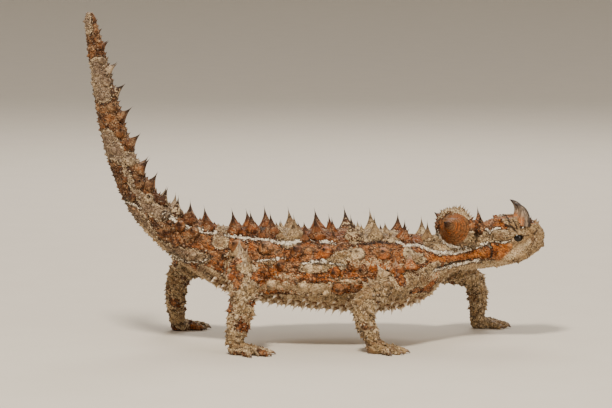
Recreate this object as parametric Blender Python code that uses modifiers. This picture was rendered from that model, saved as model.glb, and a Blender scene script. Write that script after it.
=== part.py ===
"""Thorny devil, a still life-size model, standing with its tail raised over its back.

The lizard faces +X, its left side is towards +Y, and its soles rest on z = 0.
All sizes are in metres. Head, neck, trunk and tail are one tapering tube through
the stations below, parted by thin cuts. Each limb is a tube of its own through
its joints, and every thorn grows from the tube that carries it.
"""

import math
import random
from collections import namedtuple

import bmesh
import bpy
import numpy as np
from mathutils import Matrix, Vector
from mathutils.bvhtree import BVHTree

Station = namedtuple("Station", "x z breadth depth")
Joint = namedtuple("Joint", "x y z breadth depth")
Row = namedtuple("Row", "angle start end step height radius lean slender")

GAP = 0.0003
WELD = 0.000001
SEED = 11

# A thorn's profile as radius and height, both out of one, its sides and its sunk root
THORN_PROFILE = ((1.0, -0.30), (0.92, 0.03), (0.36, 0.42))
THORN_SIDES = 5
THORN_SUNK = 0.45
# Where a thorn with no room is tried again along its row, in radii of its own
NUDGES = (0.0, 0.3, -0.3, 0.8, -0.8, 1.6, -1.6)

# Centre line of the body, with its half breadth and half depth, from snout to tail tip
BODY = (
    Station(0.0690, 0.0305, 0.0026, 0.0026),
    Station(0.0678, 0.0306, 0.0042, 0.0038),
    Station(0.0648, 0.0306, 0.0059, 0.0056),
    Station(0.0609, 0.0302, 0.0072, 0.0067),
    Station(0.0570, 0.0297, 0.0080, 0.0072),
    Station(0.0535, 0.0289, 0.0077, 0.0070),
    Station(0.0500, 0.0277, 0.0068, 0.0062),
    Station(0.0460, 0.0270, 0.0065, 0.0057),
    Station(0.0420, 0.0265, 0.0071, 0.0056),
    Station(0.0380, 0.0256, 0.0090, 0.0063),
    Station(0.0340, 0.0242, 0.0122, 0.0081),
    Station(0.0295, 0.0225, 0.0154, 0.0102),
    Station(0.0235, 0.0216, 0.0180, 0.0114),
    Station(0.0150, 0.0214, 0.0196, 0.0119),
    Station(0.0050, 0.0218, 0.0200, 0.0117),
    Station(-0.0050, 0.0224, 0.0190, 0.0112),
    Station(-0.0140, 0.0232, 0.0164, 0.0109),
    Station(-0.0210, 0.0242, 0.0133, 0.0104),
    Station(-0.0275, 0.0259, 0.0105, 0.0090),
    Station(-0.0345, 0.0288, 0.0083, 0.0073),
    Station(-0.0415, 0.0329, 0.0069, 0.0061),
    Station(-0.0475, 0.0377, 0.0059, 0.0052),
    Station(-0.0525, 0.0439, 0.0052, 0.0046),
    Station(-0.0565, 0.0520, 0.0046, 0.0041),
    Station(-0.0600, 0.0625, 0.0041, 0.0037),
    Station(-0.0628, 0.0745, 0.0034, 0.0031),
    Station(-0.0647, 0.0845, 0.0027, 0.0025),
    Station(-0.0662, 0.0920, 0.0022, 0.0020),
    Station(-0.0671, 0.0975, 0.0016, 0.0015),
    Station(-0.0673, 0.0991, 0.0009, 0.0009),
)
TRUNK_SQUARENESS = 2.3
BODY_SIDES = 20

# Where the body is parted, by x on the trunk and by z on the raised tail
HEAD_BACK_X = 0.0478
NECK_BACK_X = 0.0360
TRUNK_BACK_X = -0.0315
TAIL_ROOT_TOP_Z = 0.0425
TAIL_MIDDLE_TOP_Z = 0.0707

# Joints of each limb: root inside the trunk, knee or elbow, then ankle or wrist
LIMBS = {
    "arm_right": (
        Joint(0.0300, -0.0100, 0.0205, 0.0042, 0.0040),
        Joint(0.0220, -0.0195, 0.0194, 0.0038, 0.0035),
        Joint(0.0134, -0.0258, 0.0156, 0.0032, 0.0032),
        Joint(0.0128, -0.0270, 0.0096, 0.0031, 0.0027),
        Joint(0.0150, -0.0270, 0.0040, 0.0025, 0.0022),
    ),
    "arm_left": (
        Joint(0.0300, 0.0090, 0.0195, 0.0040, 0.0038),
        Joint(0.0415, 0.0158, 0.0184, 0.0035, 0.0033),
        Joint(0.0503, 0.0208, 0.0155, 0.0030, 0.0030),
        Joint(0.0520, 0.0222, 0.0096, 0.0029, 0.0026),
        Joint(0.0520, 0.0226, 0.0040, 0.0025, 0.0022),
    ),
    "leg_right": (
        Joint(-0.0225, -0.0050, 0.0230, 0.0050, 0.0048),
        Joint(-0.0230, -0.0160, 0.0223, 0.0046, 0.0043),
        Joint(-0.0230, -0.0248, 0.0186, 0.0038, 0.0038),
        Joint(-0.0240, -0.0268, 0.0112, 0.0034, 0.0029),
        Joint(-0.0256, -0.0268, 0.0042, 0.0026, 0.0023),
    ),
    "leg_left": (
        Joint(-0.0225, 0.0050, 0.0230, 0.0050, 0.0048),
        Joint(-0.0312, 0.0134, 0.0223, 0.0044, 0.0041),
        Joint(-0.0392, 0.0204, 0.0193, 0.0036, 0.0036),
        Joint(-0.0412, 0.0232, 0.0114, 0.0032, 0.0028),
        Joint(-0.0408, 0.0240, 0.0042, 0.0026, 0.0023),
    ),
}
LIMB_SIDES = 10
LIMB_NODES = {"arm": ("upper_arm", "forearm"), "leg": ("thigh", "shin")}

# Soles: heading of each foot from +X towards +Y, then the spread and length of its toes
FOOT_HEADINGS = {"arm_right": -12, "arm_left": 18, "leg_right": -8, "leg_left": 30}
HAND_TOES = ((-52, 0.0052), (-24, 0.0064), (0, 0.0070), (24, 0.0064), (52, 0.0052))
FOOT_TOES = ((-44, 0.0054), (-20, 0.0068), (2, 0.0080), (26, 0.0082), (62, 0.0060))
TOE_RADIUS = 0.00115
# A toe's share of its length, height and girth, and a claw's reach, height and radius
TOE_PLAN = ((0.0, 0.0013, 1.0), (0.5, 0.0014, 0.95), (1.0, 0.0007, 0.70))
CLAW_PLAN = ((-0.0008, 0.0008, 0.00055), (0.0006, 0.0009, 0.00045), (0.0016, 0.0003, 0.00012))
PALM_BREADTH = 0.0030
PALM_LENGTH = 0.0035
PALM_HEIGHT = 0.0021

# Great thorns along the back, on both sides: x, angle, height and radius
BACK_THORNS = (
    (0.0336, 66, 0.0066, 0.0025),
    (0.0261, 66, 0.0068, 0.0027),
    (0.0177, 67, 0.0074, 0.0028),
    (0.0090, 66, 0.0084, 0.0031),
    (-0.0003, 66, 0.0083, 0.0031),
    (-0.0076, 68, 0.0074, 0.0029),
    (-0.0150, 74, 0.0070, 0.0027),
    (-0.0212, 74, 0.0068, 0.0025),
    (-0.0273, 68, 0.0064, 0.0023),
    (0.0298, 58, 0.0034, 0.0013),
    (0.0220, 57, 0.0036, 0.0014),
    (0.0133, 58, 0.0038, 0.0014),
    (0.0042, 58, 0.0040, 0.0014),
    (-0.0041, 58, 0.0038, 0.0014),
    (-0.0113, 60, 0.0034, 0.0014),
    (-0.0181, 60, 0.0032, 0.0013),
    (-0.0243, 60, 0.0032, 0.0012),
    (0.0043, 84, 0.0052, 0.0014),
    (-0.0113, 86, 0.0030, 0.0012),
)
# Lesser thorn rows of the trunk: angle 0 is at the left flank and 90 on the spine
TRUNK_ROWS = (
    Row(31, 0.0280, -0.0250, 0.0090, 0.0028, 0.0023, 0.15, True),
    Row(7, 0.0250, -0.0240, 0.0086, 0.0024, 0.0020, 0.20, True),
    Row(-17, 0.0240, -0.0230, 0.0088, 0.0022, 0.0019, 0.20, True),
    Row(-36, 0.0260, -0.0240, 0.0062, 0.0020, 0.0012, 0.20, False),
    Row(-57, 0.0280, -0.0250, 0.0036, 0.0022, 0.0010, 0.25, False),
    Row(45, 0.0290, -0.0250, 0.0058, 0.0016, 0.0009, 0.20, False),
    Row(19, 0.0260, -0.0240, 0.0058, 0.0014, 0.0009, 0.20, False),
    Row(-5, 0.0250, -0.0240, 0.0058, 0.0014, 0.0009, 0.20, False),
)
NECK_ROWS = (
    Row(30, 0.0460, 0.0375, 0.0030, 0.0021, 0.0010, 0.15, False),
    Row(2, 0.0460, 0.0375, 0.0030, 0.0016, 0.0009, 0.20, False),
    Row(-35, 0.0460, 0.0375, 0.0030, 0.0012, 0.0008, 0.20, False),
)
# The tail's whorls of thorns: distance from the tail's root and height of the tallest
TAIL_WHORLS = (
    (0.0050, 0.0062),
    (0.0105, 0.0060),
    (0.0160, 0.0058),
    (0.0220, 0.0055),
    (0.0287, 0.0057),
    (0.0345, 0.0054),
    (0.0437, 0.0055),
    (0.0520, 0.0052),
    (0.0594, 0.0050),
    (0.0668, 0.0040),
    (0.0738, 0.0030),
    (0.0786, 0.0018),
)
# Angle of each pair in a whorl, then its height and radius as shares of the tallest
TAIL_RING = ((64, 1.0, 0.39), (24, 0.52, 0.31), (-22, 0.36, 0.23), (-64, 0.26, 0.18))
TAIL_LEAN = 0.30

HEAD_SIDES = 20
HEAD_RINGS = 14
EYE_CENTRE = (0.0605, 0.0063, 0.0314)
EYE_RADIUS = 0.0017
LID_RADIUS = 0.00165
LID_THICKNESS = 0.00055
LID_OPENING = (1.25, 0.72, 1.5)
MOUTH_CORNER_Z = 0.0257
MOUTH_FRONT_Z = 0.0289
MOUTH_PIVOT_X = 0.0600
MOUTH_TURN = 104
MOUTH_POINTS = 15
LIP_RADIUS = 0.0007
MOUTH_DEPTH = 0.0008
MOUTH_HEIGHT = 0.0004
NOSTRIL = (0.0660, 0.0026, 0.0347)
NOSTRIL_RADIUS = 0.00045
EAR = (0.0512, 0.0070, 0.0270)
EAR_SIZE = (0.0011, 0.0010, 0.0015)
HORN_ROOT = (0.0622, 0.0042, 0.0352)
HORN_BEND = (0.0636, 0.0048, 0.0398)
HORN_TIP = (0.0592, 0.0050, 0.0423)
HORN_RADIUS = 0.0027
HORN_TIP_RADIUS = 0.00012
BROW_CENTRE = (0.0592, 0.0044, 0.0345)
BROW_SIZE = (0.0046, 0.0026, 0.0024)
BROW_SPINE_ROOT = (0.0590, 0.0046, 0.0347)
BROW_SPINE_TIP = (0.0546, 0.0057, 0.0369)
BROW_SPINE_RADIUS = 0.0030

KNOB_CENTRE = (0.0420, 0.0, 0.0341)
KNOB_SIZE = (0.0053, 0.0090, 0.0053)
KNOB_CONE_ROOT = (0.0420, 0.0056, 0.0339)
KNOB_CONE_TIP = (0.0374, 0.0134, 0.0372)
KNOB_CONE_RADIUS = 0.0050

# Colour, roughness and metallic value of each finish
FINISHES = {
    "rust_hide": ((0.235, 0.085, 0.040), 0.80, 0.0),
    "grey_hide": ((0.270, 0.225, 0.175), 0.85, 0.0),
    "horn": ((0.160, 0.105, 0.075), 0.60, 0.0),
    "eye": ((0.010, 0.008, 0.007), 0.15, 0.0),
}


def clear_scene():
    for obj in list(bpy.data.objects):
        bpy.data.objects.remove(obj)


def collection(name):
    made = bpy.data.collections.new(name)
    bpy.context.scene.collection.children.link(made)
    return made


def finish(name):
    """The Principled material of that name, made once."""
    material = bpy.data.materials.get(name) or bpy.data.materials.new(name)
    material.use_nodes = True
    colour, roughness, metallic = FINISHES[name]
    shader = material.node_tree.nodes["Principled BSDF"]
    shader.inputs["Base Color"].default_value = (*colour, 1.0)
    shader.inputs["Roughness"].default_value = roughness
    shader.inputs["Metallic"].default_value = metallic
    return material


def knot_slopes(knots, values):
    """Slope of a smooth curve at each of its knots, from the neighbours on both sides."""
    steps = np.diff(values, axis=0) / np.diff(knots)[:, None]
    inner = (values[2:] - values[:-2]) / (knots[2:] - knots[:-2])[:, None]
    return np.vstack([steps[:1], inner, steps[-1:]])


class Tube:
    """A tapering tube through stations, straight across at every station.

    Distance along it is counted from its first station. The angle round it is 0 on
    the side that "across" points to and 90 on its upper or outer side.
    """

    def __init__(self, centres, breadths, depths, across, squareness):
        self.centres = np.array(centres, float)
        self.sizes = np.column_stack([breadths, depths]).astype(float)
        lengths = np.linalg.norm(np.diff(self.centres, axis=0), axis=1)
        self.knots = np.concatenate([[0.0], np.cumsum(lengths)])
        self.centre_slopes = knot_slopes(self.knots, self.centres)
        self.size_slopes = knot_slopes(self.knots, self.sizes)
        self.across = np.array(across, float)
        self.power = 2.0 / squareness
        self.length = float(self.knots[-1])
        self.samples = np.linspace(0, self.length, 80)
        self.sample_centres = np.array([self.centre(p) for p in self.samples])

    def blend(self, values, slopes, along):
        """Cubic Hermite value at that distance along the tube."""
        last = len(self.knots) - 2
        i = min(max(int(np.searchsorted(self.knots, along) - 1), 0), last)
        span = self.knots[i + 1] - self.knots[i]
        t = (along - self.knots[i]) / span
        return (
            values[i] * (2 * t**3 - 3 * t**2 + 1)
            + slopes[i] * span * (t**3 - 2 * t**2 + t)
            + values[i + 1] * (3 * t**2 - 2 * t**3)
            + slopes[i + 1] * span * (t**3 - t**2)
        )

    def centre(self, along):
        return self.blend(self.centres, self.centre_slopes, along)

    def frame(self, along):
        """Unit vectors at that distance: along the tube, across it, and up from it."""
        step = self.length * 0.002
        a, b = max(along - step, 0.0), min(along + step, self.length)
        tangent = self.centre(b) - self.centre(a)
        tangent /= np.linalg.norm(tangent)
        up = np.cross(self.across, tangent)
        up /= np.linalg.norm(up)
        return tangent, np.cross(tangent, up), up

    def point(self, along, angle, swell=0.0):
        """The surface point at that distance and angle, in degrees, grown by swell."""
        _, across, up = self.frame(along)
        breadth, depth = self.blend(self.sizes, self.size_slopes, along) + swell
        c, s = math.cos(math.radians(angle)), math.sin(math.radians(angle))
        side = math.copysign(abs(c) ** self.power, c) * breadth
        rise = math.copysign(abs(s) ** self.power, s) * depth
        return self.centre(along) + across * side + up * rise

    def normal(self, along, angle):
        step = self.length * 0.004
        a, b = max(along - step, 0.0), min(along + step, self.length)
        lengthwise = self.point(b, angle) - self.point(a, angle)
        around = self.point(along, angle + 4) - self.point(along, angle - 4)
        out = np.cross(lengthwise, around)
        out /= np.linalg.norm(out)
        outward = self.point(along, angle) - self.centre(along)
        return out if np.dot(out, outward) > 0 else -out

    def ring(self, along, sides, swell=0.0, shift=0.0):
        move = self.frame(along)[0] * shift
        return [self.point(along, 360 * i / sides, swell) + move for i in range(sides)]

    def rings(self, start, end, count, sides, swell=0.0, gaps=(True, True)):
        """Rings from start to end, drawn in by half a gap where a neighbour follows."""
        found = []
        for i in range(count):
            shift = 0.0
            if i == 0 and gaps[0]:
                shift = GAP / 2
            if i == count - 1 and gaps[1]:
                shift = -GAP / 2
            along = start + (end - start) * i / (count - 1)
            found.append(self.ring(along, sides, swell, shift))
        return found

    def where(self, axis, value):
        """Distance along the tube at which its centre last passes that coordinate."""
        found = self.sample_centres[:, axis] - value
        before = np.nonzero(np.diff(np.sign(found)))[0][-1]
        share = found[before] / (found[before] - found[before + 1])
        return float(self.samples[before] + share * (self.samples[before + 1] - self.samples[before]))

    def outside(self, point):
        """About how far a point lies outside the tube, negative inside it."""
        distances = np.linalg.norm(self.sample_centres - np.array(point), axis=1)
        near = int(np.argmin(distances))
        _, across, up = self.frame(self.samples[near])
        offset = np.array(point) - self.sample_centres[near]
        breadth, depth = self.blend(self.sizes, self.size_slopes, self.samples[near])
        share = math.hypot(np.dot(offset, across) / breadth, np.dot(offset, up) / depth)
        reach = distances[near] / max(share, 1e-6)
        return float(distances[near] - min(reach, max(breadth, depth)))


def loft(name, rings):
    """A closed mesh object through rings of equal point counts, with flat ends."""
    mesh = bpy.data.meshes.new(name)
    bm = bmesh.new()
    loops = [[bm.verts.new(p) for p in ring] for ring in rings]
    sides = len(loops[0])
    for first, second in zip(loops, loops[1:]):
        for i in range(sides):
            j = (i + 1) % sides
            bm.faces.new((first[i], first[j], second[j], second[i]))
    bm.faces.new(loops[0])
    bm.faces.new(loops[-1])
    bmesh.ops.recalc_face_normals(bm, faces=bm.faces)
    bm.to_mesh(mesh)
    bm.free()
    return bpy.data.objects.new(name, mesh)


def ball(name, centre, size, segments=14, rings=9):
    """A closed ellipsoid."""
    mesh = bpy.data.meshes.new(name)
    bm = bmesh.new()
    bmesh.ops.create_uvsphere(bm, u_segments=segments, v_segments=rings, radius=1.0)
    bmesh.ops.scale(bm, vec=Vector(size), verts=bm.verts)
    bm.to_mesh(mesh)
    bm.free()
    obj = bpy.data.objects.new(name, mesh)
    obj.location = centre
    return obj


def evaluated_mesh(obj, name):
    """The mesh of an object with its modifiers or its bevel, welded and facing out."""
    linked = bpy.context.scene.collection.objects
    linked.link(obj)
    bpy.context.view_layer.update()
    graph = bpy.context.evaluated_depsgraph_get()
    mesh = bpy.data.meshes.new_from_object(obj.evaluated_get(graph))
    mesh.name = name
    linked.unlink(obj)
    bm = bmesh.new()
    bm.from_mesh(mesh)
    bmesh.ops.remove_doubles(bm, verts=bm.verts, dist=WELD)
    bmesh.ops.recalc_face_normals(bm, faces=bm.faces)
    bm.to_mesh(mesh)
    bm.free()
    return mesh


def turned_thorn():
    """A thorn one high and one in radius, turned from its profile by a Screw."""
    profile = bpy.data.meshes.new("thorn_profile")
    points = [(0, 0, THORN_PROFILE[0][1])] + [(r, 0, z) for r, z in THORN_PROFILE] + [(0, 0, 1)]
    profile.from_pydata(points, [(i, i + 1) for i in range(len(points) - 1)], [])
    obj = bpy.data.objects.new("thorn_profile", profile)
    screw = obj.modifiers.new("turn", "SCREW")
    screw.steps = screw.render_steps = THORN_SIDES
    screw.use_merge_vertices = True
    screw.merge_threshold = WELD
    mesh = evaluated_mesh(obj, "slender_thorn")
    bpy.data.objects.remove(obj)
    return mesh


def cone_thorn():
    """A four-sided thorn one high and one in radius, with its root sunk."""
    mesh = bpy.data.meshes.new("plain_thorn")
    bm = bmesh.new()
    size = 1 + THORN_SUNK
    bmesh.ops.create_cone(bm, cap_ends=True, segments=4, radius1=1.0, radius2=0.0, depth=size)
    bmesh.ops.translate(bm, vec=(0, 0, 1 - size / 2), verts=bm.verts)
    bmesh.ops.remove_doubles(bm, verts=bm.verts, dist=WELD)
    bm.to_mesh(mesh)
    bm.free()
    return mesh


def rod(name, points, radii, resolution):
    """A tapering round rod through points, closed at both ends."""
    curve = bpy.data.curves.new(name, "CURVE")
    curve.dimensions = "3D"
    curve.bevel_depth = 1.0
    curve.bevel_resolution = resolution
    curve.use_fill_caps = True
    spline = curve.splines.new("POLY")
    spline.points.add(len(points) - 1)
    for knot, point, radius in zip(spline.points, points, radii):
        knot.co = (*point, 1.0)
        knot.radius = radius
    obj = bpy.data.objects.new(name, curve)
    mesh = evaluated_mesh(obj, name)
    bpy.data.objects.remove(obj)
    return bpy.data.objects.new(name, mesh)


class Thorns:
    """Thorns gathered for one node, each an object that the node's union takes in."""

    def __init__(self, seed):
        self.random = random.Random(seed)
        self.pieces = []

    @staticmethod
    def mesh(slender):
        if slender:
            return bpy.data.meshes.get("slender_thorn") or turned_thorn()
        return bpy.data.meshes.get("plain_thorn") or cone_thorn()

    def grow(self, root, direction, height, radius, slender=True):
        """Sets one thorn with its root sunk in the surface and its tip along direction."""
        out = Vector(direction).normalized()
        side = out.orthogonal().normalized()
        turn = Matrix.Rotation(self.random.uniform(0, math.pi), 3, out)
        side = turn @ side
        other = out.cross(side)
        matrix = Matrix((side * radius, other * radius, out * height)).transposed().to_4x4()
        matrix.translation = Vector(root)
        piece = bpy.data.objects.new("thorn", self.mesh(slender))
        piece.matrix_world = matrix
        self.pieces.append(piece)

    def row(self, tube, places, angle, height, radius, lean, slender, keep):
        """A row of thorns along a tube, on both of its sides, where keep allows."""
        for number, along in enumerate(places):
            for other_side in (False, True):
                turned = angle + self.random.uniform(-3, 3)
                turned = 180 - turned if other_side else turned
                tall = height * self.random.uniform(0.86, 1.12) * (1.0 if number % 2 == 0 else 0.88)
                jitter = self.random.uniform(-0.5, 0.5)
                for shift in NUDGES:
                    at = min(max(along + (jitter + shift) * radius, 0.0), tube.length)
                    root = tube.point(at, turned)
                    out = tube.normal(at, turned) + tube.frame(at)[0] * lean
                    out /= np.linalg.norm(out)
                    if keep(root, out, tall, radius):
                        self.grow(root, out, tall, radius, slender)
                        break


def largest_surface(obj):
    """Drops every loose closed surface of a mesh object but the largest."""
    bm = bmesh.new()
    bm.from_mesh(obj.data)
    unseen = set(bm.faces)
    islands = []
    while unseen:
        island, front = set(), [unseen.pop()]
        while front:
            face = front.pop()
            island.add(face)
            for edge in face.edges:
                for other in edge.link_faces:
                    if other in unseen:
                        unseen.discard(other)
                        front.append(other)
        islands.append(island)
    islands.sort(key=lambda island: sum(face.calc_area() for face in island))
    scraps = [face for island in islands[:-1] for face in island]
    bmesh.ops.delete(bm, geom=scraps, context="FACES")
    bmesh.ops.triangulate(bm, faces=bm.faces)
    bm.to_mesh(obj.data)
    bm.free()


def combine(obj, pieces, operation, solver="MANIFOLD"):
    """Joins or cuts obj with closed pieces by one Boolean, applies it and removes them."""
    if not pieces:
        return obj
    group = collection("pieces_of_" + obj.name)
    for piece in pieces:
        group.objects.link(piece)
    scene = bpy.context.scene.collection
    if obj.name not in scene.objects:
        scene.objects.link(obj)
    boolean = obj.modifiers.new("join", "BOOLEAN")
    boolean.operation = operation
    boolean.operand_type = "COLLECTION"
    boolean.collection = group
    boolean.solver = solver
    bpy.context.view_layer.update()
    graph = bpy.context.evaluated_depsgraph_get()
    made = bpy.data.meshes.new_from_object(obj.evaluated_get(graph))
    obj.modifiers.remove(boolean)
    obj.data = made
    for piece in list(group.objects):
        bpy.data.objects.remove(piece)
    bpy.data.collections.remove(group)
    scene.objects.unlink(obj)
    return obj


def bake_place(obj):
    """Writes an object's place into its mesh."""
    obj.data.transform(obj.matrix_basis)
    obj.matrix_basis = Matrix.Identity(4)
    return obj


def add_node(model, obj, finish_name):
    """Puts a finished solid in the model, in its material."""
    largest_surface(obj)
    obj.data.materials.clear()
    obj.data.materials.append(finish(finish_name))
    obj.data.shade_smooth()
    obj.data.set_sharp_from_angle(angle=math.radians(40))
    model.objects.link(obj)
    return obj


def body_tube():
    centres = [(s.x, 0.0, s.z) for s in BODY]
    breadths = [s.breadth for s in BODY]
    depths = [s.depth for s in BODY]
    return Tube(centres, breadths, depths, (0, 1, 0), TRUNK_SQUARENESS)


def limb_tube(joints):
    """A limb's tube, across which lies the axis of its bend, with 90 on the bend's outside."""
    centres = [(j.x, j.y, j.z) for j in joints]
    root, bend, end = (np.array(centres[i]) for i in (0, 2, 4))
    hinge = np.cross(end - bend, bend - root)
    hinge /= np.linalg.norm(hinge)
    return Tube(centres, [j.breadth for j in joints], [j.depth for j in joints], hinge, 2.0)


def spaced(start, end, step):
    """Places from start to end, evenly spaced by about that step."""
    count = int(round(abs(end - start) / step)) + 1
    return [start + (end - start) * i / max(count - 1, 1) for i in range(count)]


def keep_between(tube, start, end, clear_tubes, clearance=0.0006):
    """A test that a thorn stays within its node's length and clear of other tubes."""

    def keep(root, out, height, radius):
        low, high = tube.centre(start), tube.centre(end)
        first, last = tube.frame(start)[0], tube.frame(end)[0]
        for share, girth in ((0.0, 1.0), (0.4, 0.5), (1.0, 0.1)):
            place = root + out * height * share
            room = radius * girth + GAP
            if np.dot(place - low, first) < room or np.dot(high - place, last) < room:
                return False
            if any(other.outside(place) < room + clearance for other in clear_tubes):
                return False
        return True

    return keep


def build_trunk(model, body, limbs):
    start, end = body.where(0, NECK_BACK_X), body.where(0, TRUNK_BACK_X)
    trunk = loft("torso", body.rings(start, end, 20, BODY_SIDES))
    thorns = Thorns(SEED)
    keep = keep_between(body, start, end, limbs)
    for x, angle, height, radius in BACK_THORNS:
        thorns.row(body, [body.where(0, x)], angle, height, radius, 0.06, True, keep)
    for number, row in enumerate(TRUNK_ROWS):
        first, last = body.where(0, row.start), body.where(0, row.end)
        offset = row.step / 2 if number % 2 else 0.0
        places = [p + offset for p in spaced(first, last, row.step)]
        thorns.row(body, places, row.angle, row.height, row.radius, row.lean, row.slender, keep)
    combine(trunk, thorns.pieces, "UNION")
    add_node(model, trunk, "rust_hide")


def build_neck(model, body):
    start, end = body.where(0, HEAD_BACK_X), body.where(0, NECK_BACK_X)
    neck = loft("neck", body.rings(start, end, 6, BODY_SIDES))
    thorns = Thorns(SEED + 1)
    knob = Tube(
        [(KNOB_CENTRE[0], y, KNOB_CENTRE[2]) for y in (-0.009, 0.0, 0.009)],
        [KNOB_SIZE[0]] * 3,
        [KNOB_SIZE[2]] * 3,
        (1, 0, 0),
        2.0,
    )
    keep = keep_between(body, start, end, [knob], clearance=0.0002)
    for row in NECK_ROWS:
        first, last = body.where(0, row.start), body.where(0, row.end)
        places = spaced(first, last, row.step)
        thorns.row(body, places, row.angle, row.height, row.radius, row.lean, row.slender, keep)
    combine(neck, thorns.pieces, "UNION")
    add_node(model, neck, "grey_hide")


def build_knob(model, body):
    """The swelling behind the head, like a second head, with a great cone on each side."""
    knob = bake_place(ball("nape_knob", KNOB_CENTRE, KNOB_SIZE, segments=18, rings=12))
    thorns = Thorns(SEED + 2)
    centre = Vector(KNOB_CENTRE)
    for side in (-1, 1):
        root = Vector((KNOB_CONE_ROOT[0], side * KNOB_CONE_ROOT[1], KNOB_CONE_ROOT[2]))
        tip = Vector((KNOB_CONE_TIP[0], side * KNOB_CONE_TIP[1], KNOB_CONE_TIP[2]))
        thorns.grow(root, tip - root, (tip - root).length, KNOB_CONE_RADIUS)
        for turn in (-70, -25, 20, 65):
            around = Vector((math.sin(math.radians(turn)), side * 0.35, math.cos(math.radians(turn))))
            around.normalize()
            place = centre + Vector(a * b for a, b in zip(around, KNOB_SIZE))
            thorns.grow(place, around, thorns.random.uniform(0.0014, 0.0019), 0.0008, False)
    combine(knob, thorns.pieces, "UNION")
    start, end = body.where(0, 0.0520), body.where(0, 0.0320)
    under = loft("neck_cutter", body.rings(start, end, 9, BODY_SIDES, swell=GAP, gaps=(False, False)))
    combine(knob, [under], "DIFFERENCE")
    add_node(model, knob, "rust_hide")


def build_tail(model, body):
    """The tail in four lengths, ringed by whorls of thorns that shrink to its tip."""
    root = body.where(0, TRUNK_BACK_X)
    bend = body.where(2, TAIL_ROOT_TOP_Z)
    middle = body.where(2, TAIL_MIDDLE_TOP_Z)
    cuts = (root, bend, middle, body.length)
    names = ("tail_root", "tail_middle", "tail_tip")
    for number, name in enumerate(names):
        start, end = cuts[number], cuts[number + 1]
        last = number == len(names) - 1
        rings = body.rings(start, end, (8, 10, 9)[number], 14, gaps=(True, not last))
        length = loft(name, rings)
        thorns = Thorns(SEED + 3 + number)
        keep = keep_between(body, start, end - 0.0006 if last else end, [])
        for whorl, (along, tallest) in enumerate(TAIL_WHORLS):
            following = TAIL_WHORLS[min(whorl + 1, len(TAIL_WHORLS) - 1)][0]
            for place, (angle, height, radius) in enumerate(TAIL_RING):
                at = root + (along if place % 2 == 0 else (along + following) / 2)
                if start < at < end:
                    sizes = (height * tallest, radius * tallest)
                    thorns.row(body, [at], angle, *sizes, TAIL_LEAN, place < 1, keep)
        combine(length, thorns.pieces, "UNION")
        add_node(model, length, "grey_hide" if number else "rust_hide")


def mouth_path(tree):
    """Points and outward directions of the mouth, from its right corner to its left."""
    points = []
    for i in range(MOUTH_POINTS):
        turn = math.radians(MOUTH_TURN * (2 * i / (MOUTH_POINTS - 1) - 1))
        back = math.cos(math.radians(MOUTH_TURN))
        share = (math.cos(turn) - back) / (1 - back)
        height = MOUTH_CORNER_Z + (MOUTH_FRONT_Z - MOUTH_CORNER_Z) * share
        ray = Vector((math.cos(turn), math.sin(turn), 0.0))
        place, normal, _, _ = tree.ray_cast(Vector((MOUTH_PIVOT_X, 0.0, height)), ray)
        points.append((place, Vector((normal.x, normal.y, 0.0)).normalized()))
    return points


def groove(name, path):
    """A wedge along the path that cuts the mouth's line."""
    rise = Vector((0, 0, MOUTH_HEIGHT))
    rings = []
    for place, outward in path:
        outer = place + outward * (LIP_RADIUS + GAP)
        rings.append([place - outward * MOUTH_DEPTH, outer + rise, outer - rise])
    return loft(name, rings)


def lid(name, side):
    """The thick ring of skin round an eye, drawn to an almond opening."""
    bpy.ops.mesh.primitive_torus_add(
        major_segments=14,
        minor_segments=6,
        major_radius=LID_RADIUS,
        minor_radius=LID_THICKNESS,
    )
    ring = bpy.context.object
    mesh = ring.data
    bpy.data.objects.remove(ring)
    obj = bpy.data.objects.new(name, mesh)
    place = (EYE_CENTRE[0], side * (EYE_CENTRE[1] + EYE_RADIUS * 0.62), EYE_CENTRE[2])
    turned = Matrix.Rotation(math.pi / 2, 4, "X") @ Matrix.Diagonal((*LID_OPENING, 1.0))
    obj.matrix_basis = Matrix.Translation(place) @ turned
    return bake_place(obj)


# Thorns of the head on both sides: x, angle, height, radius, lean towards the neck
HEAD_THORNS = (
    (0.0520, 62, 0.0068, 0.0019, -0.32, True),
    (0.0500, 8, 0.0014, 0.0009, 0.30, False),
    (0.0500, -35, 0.0013, 0.0008, 0.30, False),
    (0.0545, 30, 0.0026, 0.0012, 0.60, False),
    (0.0548, -20, 0.0027, 0.0015, 0.45, True),
    (0.0580, -6, 0.0014, 0.0009, 0.40, False),
    (0.0560, -48, 0.0014, 0.0008, 0.40, False),
    (0.0600, -50, 0.0012, 0.0008, 0.30, False),
    (0.0638, -48, 0.0011, 0.0008, 0.20, False),
    (0.0650, 70, 0.0024, 0.0011, 0.10, False),
    (0.0668, 64, 0.0018, 0.0009, -0.10, False),
    (0.0655, 28, 0.0013, 0.0008, 0.10, False),
    (0.0560, 82, 0.0015, 0.0009, 0.40, False),
)


def head_thorns(body, keep):
    thorns = Thorns(SEED + 9)
    for x, angle, height, radius, lean, slender in HEAD_THORNS:
        along = body.where(0, x)
        thorns.row(body, [along], angle, height, radius, lean, slender, keep)
    return thorns.pieces


def brow_spines():
    """The thick spine behind each horn, which points back over the neck."""
    thorns = Thorns(SEED + 10)
    for side in (-1, 1):
        root, tip = (Vector(mirrored(p, side)) for p in (BROW_SPINE_ROOT, BROW_SPINE_TIP))
        thorns.grow(root, tip - root, (tip - root).length, BROW_SPINE_RADIUS)
    return thorns.pieces


def mirrored(point, side):
    return (point[0], side * point[1], point[2])


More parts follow.
